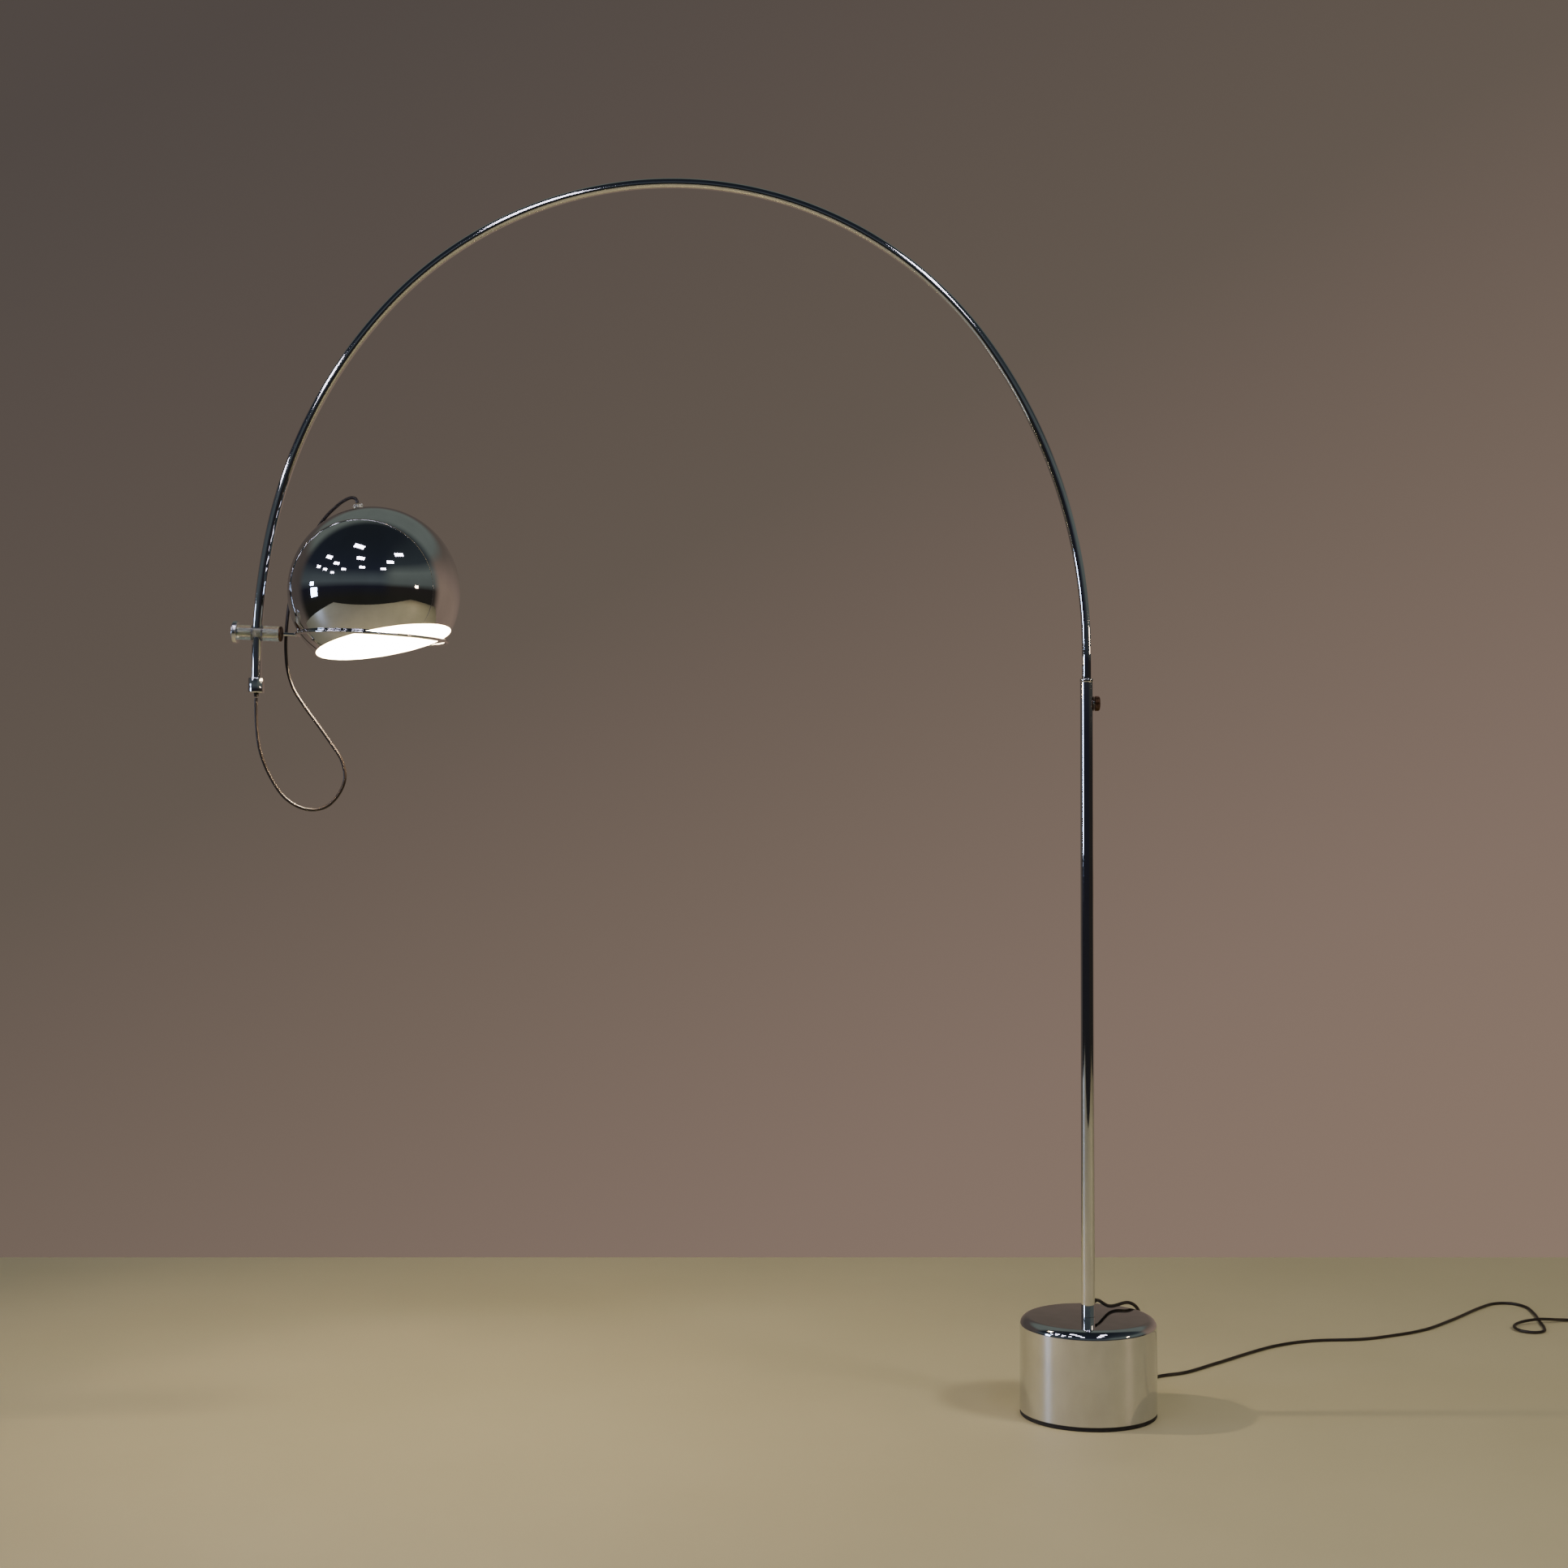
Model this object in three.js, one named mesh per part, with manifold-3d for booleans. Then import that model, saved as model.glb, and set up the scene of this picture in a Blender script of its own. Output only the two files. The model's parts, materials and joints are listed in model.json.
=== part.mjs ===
// Arc floor lamp with a chromed ball shade. Millimetres, +Z up.
// The origin is the centre of the base's underside. The arch lies in the XZ plane and reaches towards -X.
import * as THREE from "three";
import { mergeVertices } from "three/addons/utils/BufferGeometryUtils.js";
import Module from "manifold-3d";

const wasm = await Module();
wasm.setup();

// ---- driving dimensions ----
const gap = 0.3; // between pieces that touch

const baseRadius = 110;
const baseHeight = 156;
const baseEdge = 15; // rounded top edge of the cover
const coverWall = 1.6;
const ballastTop = 120; // the cover is hollow above the casting
const footHeight = 6.5; // rubber ring that shows below the cover
const footInner = 90;
const feltHeight = 3;
const studRadius = 6; // M12

const postRadius = 11;
const postWall = 1.5;
const postTop = 1178;
const collarTop = 1184;
const leadHoleHeight = 178; // where the mains lead leaves the post
const leadHoleAngle = 50; // degrees round from +X
const lockHeight = 1143.7;

const tubeRadius = 8;
const tubeWall = 1.2;
const legBottom = 850; // lower end of the arch's leg, inside the post
const legTop = 1225; // where the leg starts to bend
const archBends = [
  [864, 35],
  [629, 102.3],
  [766, 29.3],
  [1000, 12.9],
]; // radius and degrees of each stretch, from the leg to the tail
const tailLength = 47; // straight end of the arch
const clampTurn = 10.8; // degrees round the last bend at which the clamp sits

const capRadius = 13;
const capLength = 24.5;
const capDepth = 11; // how far the tube enters the end cap

const clampRadius = 12.25;
const clampLeft = -31;
const clampRight = 36;
const linerRadius = 9.8;
const linerLength = 11;
const coreRadius = 4.6;
const clampKnobRadius = 18;
const clampKnobWidth = 7.6;

const wireRadius = 2.75; // the ring and its stem
const ringRadius = 120;
const ringReach = 186; // tube axis to ring centre
const ballAboveRing = 74.5;

const shadeRadius = 138;
const shadeWall = 0.9;
const openingHeight = -84; // plane of the opening, from the ball's centre
const shadeLean = -14.3; // degrees from the ring's axis, about Y
const shadeNod = -6; // degrees about X
const glandRadius = 8;
const glandTop = 149.5;

const hangingCordRadius = 2.6;
const mainsCordRadius = 2.75;

const round = 40; // sides of a large turned piece
const fine = 20; // sides of a small one

// ---- finishes ----
const finishes = {
  chrome: { color: 0xc9ccd1, metalness: 1, roughness: 0.08 },
  darkChrome: { color: 0x6f675f, metalness: 1, roughness: 0.25 },
  castIron: { color: 0x3b3a38, metalness: 0.6, roughness: 0.85 },
  zincSteel: { color: 0x9a9b98, metalness: 0.9, roughness: 0.45 },
  brass: { color: 0xb08d4a, metalness: 1, roughness: 0.35 },
  rubber: { color: 0x17140f, metalness: 0, roughness: 0.8 },
  felt: { color: 0x2d3a2c, metalness: 0, roughness: 1 },
  nylon: { color: 0xe9e2cf, metalness: 0, roughness: 0.5 },
  acrylic: { color: 0xdfe8e2, metalness: 0, roughness: 0.06, transparent: true, opacity: 0.35 },
  blackPlastic: { color: 0x16130f, metalness: 0, roughness: 0.5 },
  cord: { color: 0x17120f, metalness: 0, roughness: 0.6 },
  porcelain: { color: 0xeeeae0, metalness: 0, roughness: 0.3 },
  opalGlass: { color: 0xfff6e6, metalness: 0, roughness: 0.3 },
};

const lamp = new THREE.Group();

function addPiece(group, name, geometry, finish) {
  const piece = new THREE.Mesh(geometry, new THREE.MeshStandardMaterial(finishes[finish]));
  piece.name = name;
  group.add(piece);
  return piece;
}

// ---- solids ----
function solidOf(geometry) {
  const bare = geometry.clone();
  bare.deleteAttribute("normal");
  bare.deleteAttribute("uv");
  const merged = mergeVertices(bare, 1e-4);
  return new wasm.Manifold(
    new wasm.Mesh({
      numProp: 3,
      vertProperties: new Float32Array(merged.attributes.position.array),
      triVerts: new Uint32Array(merged.index.array),
    }),
  );
}

function geometryOf(solid) {
  const mesh = solid.getMesh();
  const geometry = new THREE.BufferGeometry();
  geometry.setAttribute("position", new THREE.BufferAttribute(mesh.vertProperties, 3));
  geometry.setIndex(new THREE.BufferAttribute(mesh.triVerts, 1));
  return geometry;
}

function cut(geometry, ...tools) {
  let solid = solidOf(geometry);
  for (const tool of tools) solid = solid.subtract(solidOf(tool));
  return geometryOf(solid);
}

// A profile of [radius, height] pairs turned about Z. It goes anticlockwise: up the outside, down the inside.
function turned(profile, sides = round) {
  const points = profile.map(([radius, height]) => new THREE.Vector2(radius, height));
  return new THREE.LatheGeometry(points, sides).rotateX(Math.PI / 2);
}

function closed(profile) {
  return [...profile, profile[0]];
}

function rod(radius, from, to, sides = fine) {
  return turned([[0, from], [radius, from], [radius, to], [0, to]], sides);
}

function sleeve(inner, outer, from, to, sides = fine) {
  return turned(closed([[inner, from], [outer, from], [outer, to], [inner, to]]), sides);
}

function hexNut(bore, corner, from, to) {
  return cut(rod(corner, from, to, 6), rod(bore, from - 1, to + 1, 16));
}

// Turns a solid made along Z so that it lies along +X.
function alongX(geometry) {
  return geometry.rotateY(Math.PI / 2);
}

// Points of a round edge in a profile, from one angle to another, in degrees.
function arcPoints(centreRadius, centreHeight, radius, from, to, steps) {
  return Array.from({ length: steps + 1 }, (_, i) => {
    const angle = THREE.MathUtils.degToRad(from + ((to - from) * i) / steps);
    return [centreRadius + radius * Math.cos(angle), centreHeight + radius * Math.sin(angle)];
  });
}

function discShape(radius, sides) {
  return Array.from({ length: sides }, (_, i) => {
    const angle = (2 * Math.PI * i) / sides;
    return new THREE.Vector2(radius * Math.cos(angle), radius * Math.sin(angle));
  });
}

function tubeAlong(path, radius, sides, steps, bore = 0) {
  const section = new THREE.Shape(discShape(radius, sides));
  if (bore) section.holes.push(new THREE.Path(discShape(bore, 8)));
  return new THREE.ExtrudeGeometry(section, { steps, extrudePath: path, bevelEnabled: false });
}

// ---- the arch's centreline: a straight leg, four tangent bends and a straight tail ----
class ArchLine extends THREE.Curve {
  constructor(from, to) {
    super();
    this.pieces = [];
    let angle = Math.PI / 2;
    let x = 0;
    let z = legTop;
    let length = legTop - legBottom;
    this.pieces.push({ start: 0, length, x: 0, z: legBottom, angle });
    for (const [radius, degrees] of archBends) {
      const turn = THREE.MathUtils.degToRad(degrees);
      this.pieces.push({ start: length, length: radius * turn, x, z, angle, radius });
      const centreX = x - radius * Math.sin(angle);
      const centreZ = z + radius * Math.cos(angle);
      angle += turn;
      x = centreX + radius * Math.sin(angle);
      z = centreZ - radius * Math.cos(angle);
      length += radius * turn;
    }
    this.pieces.push({ start: length, length: tailLength, x, z, angle });
    this.total = length + tailLength;
    this.from = from;
    this.to = to === undefined ? this.total : this.total - to;
  }

  // Place and direction at a distance from the leg's lower end.
  at(distance) {
    const piece = this.pieces.findLast((p) => distance >= p.start) ?? this.pieces[0];
    const along = distance - piece.start;
    if (!piece.radius) {
      const x = piece.x + along * Math.cos(piece.angle);
      const z = piece.z + along * Math.sin(piece.angle);
      return { x, z, angle: piece.angle };
    }
    const angle = piece.angle + along / piece.radius;
    const x = piece.x + piece.radius * (Math.sin(angle) - Math.sin(piece.angle));
    const z = piece.z - piece.radius * (Math.cos(angle) - Math.cos(piece.angle));
    return { x, z, angle };
  }

  getPoint(t, target = new THREE.Vector3()) {
    const { x, z } = this.at(this.from + (this.to - this.from) * t);
    return target.set(x, 0, z);
  }
}

// ---- base ----
function addBase() {
  const inner = baseRadius - coverWall;
  const edgeCentre = baseRadius - baseEdge;
  const coverTop = arcPoints(edgeCentre, baseHeight - baseEdge, baseEdge, 0, 90, 4);
  const liningTop = arcPoints(edgeCentre, baseHeight - baseEdge, baseEdge - coverWall, 90, 0, 2);
  const studHole = studRadius + 0.7;
  const cover = closed([
    [inner, footHeight + gap],
    [baseRadius, footHeight + gap],
    ...coverTop,
    [studHole, baseHeight],
    [studHole, baseHeight - coverWall],
    ...liningTop,
  ]);
  addPiece(lamp, "base_cover", turned(cover), "chrome");

  const ballastRadius = inner - 0.5;
  const recess = 20;
  const recessTop = 24;
  const ballast = closed([
    [recess, footHeight + gap],
    [ballastRadius, footHeight + gap],
    [ballastRadius, ballastTop - 5],
    [ballastRadius - 5, ballastTop],
    [studHole, ballastTop],
    [studHole, recessTop],
    [recess, recessTop],
  ]);
  addPiece(lamp, "base_ballast", turned(ballast, 28), "castIron");
  const foot = sleeve(footInner, baseRadius - 0.5, 0, footHeight, round);
  addPiece(lamp, "foot_ring", foot, "rubber");
  const discRadius = footInner - 0.5;
  addPiece(lamp, "bottom_plate", rod(discRadius, feltHeight + gap, footHeight, 28), "zincSteel");
  addPiece(lamp, "felt_pad", rod(discRadius, 0, feltHeight, 28), "felt");

  const plateBottom = baseHeight - coverWall;
  const spacer = sleeve(studRadius + gap, 13, ballastTop + gap, plateBottom - gap);
  addPiece(lamp, "stud_spacer", spacer, "zincSteel");

  const plugTop = 170;
  addPiece(lamp, "post_stud", rod(studRadius, 9, plugTop - 1, 16), "zincSteel");
  const washer = sleeve(studRadius + gap, 14, recessTop - 2.8, recessTop - gap);
  addPiece(lamp, "stud_washer", washer, "zincSteel");
  addPiece(lamp, "stud_nut", hexNut(studRadius + gap, 10.9, 11, recessTop - 3.1), "zincSteel");
  const plugRadius = postRadius - postWall - gap;
  const plug = sleeve(studRadius + gap, plugRadius, baseHeight + gap, plugTop);
  addPiece(lamp, "post_foot_plug", plug, "zincSteel");
}

// ---- post, its top bush and the height lock ----
function addPost() {
  const bore = postRadius - postWall;
  const exitAngle = THREE.MathUtils.degToRad(leadHoleAngle);
  const leadHole = alongX(rod(4.3, 0, 20, 16)).rotateZ(exitAngle).translate(0, 0, leadHoleHeight);
  const lockHole = alongX(rod(3.4, 0, 20, 16)).translate(0, 0, lockHeight);
  const post = sleeve(bore, postRadius, baseHeight + gap, postTop);
  addPiece(lamp, "post_tube", cut(post, leadHole, lockHole), "chrome");

  const running = tubeRadius + 0.35; // bore that the arch's leg slides in
  const collar = closed([
    [running, postTop + gap],
    [postRadius + 0.3, postTop + gap],
    ...arcPoints(postRadius - 1.7, collarTop - 2, 2, 0, 90, 4),
    [running, collarTop],
  ]);
  addPiece(lamp, "post_collar", turned(collar, fine), "chrome");
  addPiece(lamp, "post_bush", sleeve(running, bore - gap, lockHeight + 5, postTop - gap), "nylon");

  const lock = new THREE.Group();
  lock.position.z = lockHeight;
  lamp.add(lock);
  addPiece(lock, "lock_boss", alongX(sleeve(3.3, 5, postRadius + gap, 12)), "chrome");
  const knob = [
    [0, 17.9],
    [3.3, 17.9],
    [3.3, 12.3],
    [10.4, 12.3],
    [11.7, 13.3],
    [12, 16],
    [11.5, 18.8],
    [9.2, 20.6],
    [0, 21.2],
  ];
  addPiece(lock, "lock_knob", alongX(turned(knob, fine)), "darkChrome");
  addPiece(lock, "lock_screw", alongX(rod(3, 9.6, 17.6, 12)), "zincSteel");
  addPiece(lock, "lock_pad", alongX(rod(2.9, running, 9.3, 12)), "nylon");

  const grommet = turned(
    [[0, 9], [3.9, 9], [3.9, 11.6], [5.2, 11.9], [5.2, 13.4], [3.4, 22], [0, 22]],
    16,
  );
  const grommetPiece = addPiece(lamp, "mains_grommet", alongX(grommet), "rubber");
  grommetPiece.rotation.z = exitAngle;
  grommetPiece.position.z = leadHoleHeight;

  const cos = Math.cos(exitAngle);
  const sin = Math.sin(exitAngle);
  const leadRoute = new THREE.CatmullRomCurve3(
    [
      new THREE.Vector3(7.8 * cos, 7.8 * sin, leadHoleHeight),
      new THREE.Vector3(5.5 * cos, 5.5 * sin, leadHoleHeight + 0.8),
      new THREE.Vector3(0, 0, leadHoleHeight + 16),
      new THREE.Vector3(-2, 0, 320),
      new THREE.Vector3(2, 0, 480),
      new THREE.Vector3(-1, 0, 640),
      new THREE.Vector3(0, 0, legBottom - 60),
    ],
    false,
    "centripetal",
  );
  addPiece(lamp, "post_lead", tubeAlong(leadRoute, hangingCordRadius, 6, 24), "cord");
}

// ---- arch ----
const arch = new ArchLine(0);

function addArch() {
  const running = tubeRadius + 0.35;
  addPiece(lamp, "arch_tube", tubeAlong(arch, tubeRadius, 14, 50, tubeRadius - tubeWall), "chrome");
  const guide = sleeve(running, postRadius - postWall - gap, legBottom + 6, legBottom + 36);
  addPiece(lamp, "leg_guide", guide, "nylon");
  addPiece(lamp, "arch_lead", tubeAlong(new ArchLine(5, 4), hangingCordRadius, 6, 48), "cord");

  // The end cap's frame: its origin is the tube's end, and +Z runs back up the tube.
  const end = arch.at(arch.total);
  const tail = new THREE.Group();
  tail.position.set(end.x, 0, end.z);
  tail.rotation.y = end.angle * -1 + Math.PI * 1.5;
  lamp.add(tail);
  const top = capDepth;
  const bottom = capDepth - capLength;
  const cap = turned(
    closed([
      [4.4, bottom],
      ...arcPoints(capRadius - 2, bottom + 2, 2, -90, 0, 3),
      [capRadius, top - 1],
      [capRadius - 1, top],
      [tubeRadius + gap, top],
      [tubeRadius + gap, -gap],
      [6, -gap],
      [6, bottom + 5],
      [4.4, bottom + 4],
    ]),
    fine,
  );
  const screwHole = rod(2.3, 0, 20, 12).rotateX(-Math.PI / 2).translate(0, 0, 5);
  addPiece(tail, "arch_end_cap", cut(cap, screwHole), "chrome");
  const screw = rod(2, tubeRadius + gap, capRadius - 0.2, 12).rotateX(-Math.PI / 2);
  addPiece(tail, "end_cap_screw", screw.translate(0, 0, 5), "zincSteel");
  const grommet = turned(
    [[0, bottom - 6], [3.1, bottom - 6], [4.1, bottom - 0.5], [4.1, bottom + 3.6], [0, bottom + 3.6]],
    16,
  );
  addPiece(tail, "end_cap_grommet", grommet, "rubber");
}

// ---- clamp on the arch's tail, with the ring that carries the shade ----
function addClamp() {
  const bend = arch.pieces[archBends.length];
  const place = arch.at(bend.start + bend.radius * THREE.MathUtils.degToRad(clampTurn));
  const clamp = new THREE.Group();
  clamp.position.set(place.x, 0, place.z);
  clamp.rotation.y = Math.PI * 1.5 - place.angle; // local +Z runs up the tube, local +X to the ring
  lamp.add(clamp);

  const half = linerLength / 2;
  addPiece(clamp, "clamp_liner", sleeve(tubeRadius + 0.8, linerRadius, -half, half), "nylon");
  const crossBore = rod(linerRadius + gap, -20, 20);
  const axialBore = alongX(rod(coreRadius + gap, clampLeft - 5, clampRight + 5));
  const body = alongX(rod(clampRadius, clampLeft, clampRight));
  addPiece(clamp, "clamp_body", cut(body, crossBore, axialBore), "acrylic");
  const core = linerRadius + 0.9;
  addPiece(clamp, "knob_core", alongX(sleeve(3.3, coreRadius, clampLeft + gap, -core)), "nylon");
  const stemBore = wireRadius + gap;
  const stemCore = sleeve(stemBore, coreRadius, core, clampRight - gap);
  addPiece(clamp, "stem_core", alongX(stemCore), "nylon");
  const collar = sleeve(stemBore, clampRadius, clampRight + gap, clampRight + 3.6);
  addPiece(clamp, "clamp_collar", alongX(collar), "darkChrome");

  const knobFace = clampLeft - gap;
  const knobBack = knobFace - clampKnobWidth;
  const knob = turned(
    [
      [0, knobBack],
      [clampKnobRadius - 1.2, knobBack],
      [clampKnobRadius, knobBack + 1.2],
      [clampKnobRadius, knobFace - 1.2],
      [clampKnobRadius - 1.2, knobFace],
      [3.3, knobFace],
      [3.3, knobBack + 3],
      [0, knobBack + 3],
    ],
    fine,
  );
  addPiece(clamp, "clamp_knob", alongX(knob), "chrome");
  addPiece(clamp, "clamp_screw", alongX(rod(3, knobBack + 3.3, -core - 0.6, 12)), "zincSteel");
  addPiece(clamp, "clamp_pad", alongX(rod(2.9, -core - gap, -linerRadius - gap, 12)), "brass");

  const stemEnd = ringReach - ringRadius - wireRadius - gap;
  addPiece(clamp, "ring_stem", alongX(rod(wireRadius, core + 1, stemEnd, 12)), "chrome");
  const ring = new THREE.TorusGeometry(ringRadius, wireRadius, 8, 48).translate(ringReach, 0, 0);
  addPiece(clamp, "holder_ring", ring, "chrome");
  return clamp;
}

// ---- shade, in its own frame: origin at the ball's centre, +Z to the gland ----
function addShade(clamp) {
  const shade = new THREE.Group();
  shade.position.set(ringReach, 0, ballAboveRing);
  shade.rotation.set(THREE.MathUtils.degToRad(shadeNod), THREE.MathUtils.degToRad(shadeLean), 0);
  clamp.add(shade);

  const inner = shadeRadius - shadeWall;
  const edgeAngle = (radius) => THREE.MathUtils.radToDeg(Math.asin(openingHeight / radius));
  const poleAngle = (radius) => THREE.MathUtils.radToDeg(Math.acos(5.4 / radius));
  const shell = closed([
    ...arcPoints(0, 0, shadeRadius, edgeAngle(shadeRadius), poleAngle(shadeRadius), 11),
    ...arcPoints(0, 0, inner, poleAngle(inner), edgeAngle(inner), 11),
  ]);
  addPiece(shade, "shade_shell", turned(shell, 36), "chrome");

  const gland = closed([
    [5.3, shadeRadius + gap],
    [glandRadius, shadeRadius + gap],
    [glandRadius, glandTop - 2.5],
    ...arcPoints(glandRadius - 2.5, glandTop - 2.5, 2.5, 30, 90, 2),
    [2.9, glandTop],
    [2.9, 143.5],
    [5.3, 143.5],
  ]);
  addPiece(shade, "cord_gland", turned(gland, 16), "acrylic");
  addPiece(shade, "threaded_nipple", sleeve(3.2, 5, 112, 143), "brass");
  addPiece(shade, "shade_nut", hexNut(5.3, 9, 131.5, 136.3), "zincSteel");

  const holderCap = closed([
    [19.5, 100],
    [21.5, 100],
    [21.5, 112],
    [14, 127],
    [5.3, 128],
    [5.3, 125.6],
    [12.8, 125],
    [19.5, 111.5],
  ]);
  addPiece(shade, "lamp_holder_cap", turned(holderCap, fine), "blackPlastic");
  addPiece(shade, "lamp_holder_skirt", sleeve(16.5, 21.5, 62, 99.7), "blackPlastic");
  addPiece(shade, "contact_block", rod(15.8, 90, 98.6), "porcelain");
  addPiece(shade, "holder_thread", sleeve(13.7, 14.4, 66, 89.6), "brass");
  addPiece(shade, "holder_lead", rod(2.2, 99.5, 142.6, 8), "cord");
  addPiece(shade, "bulb_cap", rod(13.2, 63, 88.5), "zincSteel");
  const bulbCentre = 24;
  const bulbRadius = 30;
  const bulb = closed([
    ...arcPoints(0, bulbCentre, bulbRadius, -90, 38, 6),
    [15, 52],
    [12.8, 62.6],
    [11.8, 62.6],
    [14, 51],
    ...arcPoints(0, bulbCentre, bulbRadius - 1, 38, -90, 6),
  ]);
  addPiece(shade, "bulb_glass", turned(bulb, fine), "opalGlass");
}

// ---- cords ----
function points(list) {
  return list.map(([x, y, z]) => new THREE.Vector3(x, y, z));
}

// A stretch of a route between two distances along it, as a curve of its own.
class Stretch extends THREE.Curve {
  constructor(route, from, to) {
    super();
    this.route = route;
    this.from = from / route.getLength();
    this.to = to / route.getLength();
  }

  getPoint(t, target = new THREE.Vector3()) {
    return this.route.getPointAt(this.from + (this.to - this.from) * t, target);
  }
}

const hangingRoute = [
  [-1343.9, 0, 1152.6],
  [-1344, 0, 1135],
  [-1343, 1, 1105],
  [-1338, 2, 1069],
  [-1325, 5, 1032],
  [-1301, 8, 994],
  [-1277, 10, 977],
  [-1256, 12, 972],
  [-1233, 14, 977],
  [-1213, 15, 997],
  [-1203, 16, 1024],
  [-1209, 17, 1053],
  [-1225, 18, 1078],
  [-1249, 18, 1112],
  [-1270, 17, 1141],
  [-1287, 15, 1169],
  [-1296, 14, 1198],
  [-1299, 14, 1225],
  [-1299.5, 15, 1247],
  [-1299, 18, 1270],
  [-1297, 26, 1305],
  [-1292, 32, 1346],
  [-1281, 34, 1383],
  [-1261, 33, 1419],
  [-1238, 29, 1450],
  [-1222, 26, 1465],
  [-1208, 22, 1475],
  [-1194, 18, 1480],
  [-1186.5, 16.4, 1477.5],
  [-1183.4, 15.4, 1470],
];
const hangingSplits = [0, 242, 415, 565]; // distances at which the cord's nodes meet
const mainsRoute = [
  [14.5, 17.3, 178],
  [19.8, 23.6, 177],
  [28, 34, 170.2],
  [38.5, 46, 162.3],
  [50.5, 57, 160],
  [63.5, 67, 161.6],
  [76.5, 72.5, 162.8],
  [89, 74, 156],
  [96.5, 74, 140],
  [99, 76, 116],
  [99, 84, 84],
  [100, 101, 48],
  [104, 126, 18],
  [113, 158, 4.4],
  [128, 192, 2.8],
  [151, 223, 2.8],
  [200, 248, 2.8],
  [266, 311, 2.8],
  [402, 441, 2.8],
  [476, 478, 2.8],
  [569, 490, 2.8],
  [627, 515, 2.8],
  [701, 560, 2.8],
  [783, 646, 2.8],
  [869, 749, 2.8],
  [909, 785, 2.8],
  [941, 785, 2.8],
  [958, 757, 2.8],
  [955, 695, 2.8],
  [942, 622, 2.8],
  [934, 578, 2.8],
  [923, 550, 2.8],
  [901, 541, 3],
  [880, 555, 3.8],
  [879, 584, 5.4],
  [900, 606, 7.4],
  [940, 624, 8.8],
  [976, 635, 5.4],
  [1016, 641, 2.9],
  [1064, 629, 2.8],
];
const mainsSplits = [0, 410, 1180]; // distances at which the mains cord's nodes meet
const coilCentre = [1084, 668];
const coilRadius = 30; // at the middle of its turns
const coilBottom = 1;
const coilLayers = 3; // each two turns wide
const tailRoute = [
  [1114.5, 692.5, 8.2],
  [1112.2, 704, 7.6],
  [1110.4, 714, 7.1],
  [1110, 722, 6.95],
];

// A cord as a row of tubes that meet end to end at the given distances.
function addCordRun(name, list, splits, radius) {
  const route = new THREE.CatmullRomCurve3(points(list), false, "centripetal");
  route.arcLengthDivisions = 1000;
  const ends = [...splits.slice(1), route.getLength()];
  splits.forEach((from, i) => {
    const steps = Math.round((ends[i] - from) / (5.6 * radius));
    const tube = tubeAlong(new Stretch(route, from, ends[i] - gap), radius, 8, steps);
    addPiece(lamp, `${name}_${i + 1}`, tube, "cord");
  });
}

function addCords() {
  addCordRun("hanging_cord", hangingRoute, hangingSplits, hangingCordRadius);
  addCordRun("mains_cord", mainsRoute, mainsSplits, mainsCordRadius);
  const tail = new THREE.CatmullRomCurve3(points(tailRoute), false, "centripetal");
  addPiece(lamp, "mains_cord_tail", tubeAlong(tail, mainsCordRadius, 8, 6), "cord");

  const width = 2 * mainsCordRadius; // half the width of two turns side by side
  const coilTop = coilBottom + coilLayers * 2 * mainsCordRadius;
  const coil = sleeve(coilRadius - width, coilRadius + width, coilBottom, coilTop, 28);
  addPiece(lamp, "mains_coil", coil.translate(coilCentre[0], coilCentre[1], 0), "cord");

  const tie = new THREE.Shape();
  const tieWall = 0.7;
  const tieSlack = 0.6;
  const tieHalf = width + tieSlack + tieWall;
  const tieTop = coilTop + gap + tieWall;
  tie.moveTo(-tieHalf, 0);
  tie.lineTo(tieHalf, 0);
  tie.lineTo(tieHalf, tieTop);
  tie.lineTo(-tieHalf, tieTop);
  const hole = new THREE.Path();
  hole.moveTo(-width - tieSlack, tieWall);
  hole.lineTo(width + tieSlack, tieWall);
  hole.lineTo(width + tieSlack, tieTop - tieWall);
  hole.lineTo(-width - tieSlack, tieTop - tieWall);
  tie.holes.push(hole);
  const band = new THREE.ExtrudeGeometry(tie, { depth: 6, bevelEnabled: false });
  band.rotateX(Math.PI / 2).translate(coilCentre[0] - coilRadius, coilCentre[1] + 3, 0);
  addPiece(lamp, "coil_tie", band, "blackPlastic");
}

// ---- plug, lying flat beside the coil with its pins towards +Y ----
function addPlug() {
  const plug = new THREE.Group();
  plug.position.set(1110, 742, 0);
  lamp.add(plug);
  const outline = new THREE.Shape();
  outline.moveTo(-17.6, 26);
  outline.lineTo(-17.6, 14);
  outline.lineTo(-6, 0);
  outline.lineTo(6, 0);
  outline.lineTo(17.6, 14);
  outline.lineTo(17.6, 26);
  const body = new THREE.ExtrudeGeometry(outline, { depth: 13.7, bevelEnabled: false });
  addPiece(plug, "plug_body", body.translate(0, 0, 0.1), "blackPlastic");
  const middle = 6.95;
  const lyingAlongY = -Math.PI / 2;
  const relief = turned([[0, -19.4], [3.2, -19.4], [4.6, -gap], [0, -gap]], 12);
  addPiece(plug, "plug_relief", relief.rotateX(lyingAlongY).translate(0, 0, middle), "blackPlastic");
  for (const side of [-1, 1]) {
    const name = side < 0 ? "plug_pin_left" : "plug_pin_right";
    const pin = rod(2, 26 + gap, 45, 12).rotateX(lyingAlongY);
    addPiece(plug, name, pin.translate(side * 9.3, 0, middle), "brass");
  }
}

addBase();
addPost();
addArch();
const clamp = addClamp();
addShade(clamp);
addCords();
addPlug();

export default lamp;
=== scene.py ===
import json
import math
import bpy
import bmesh
from mathutils import Matrix, Vector


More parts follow.
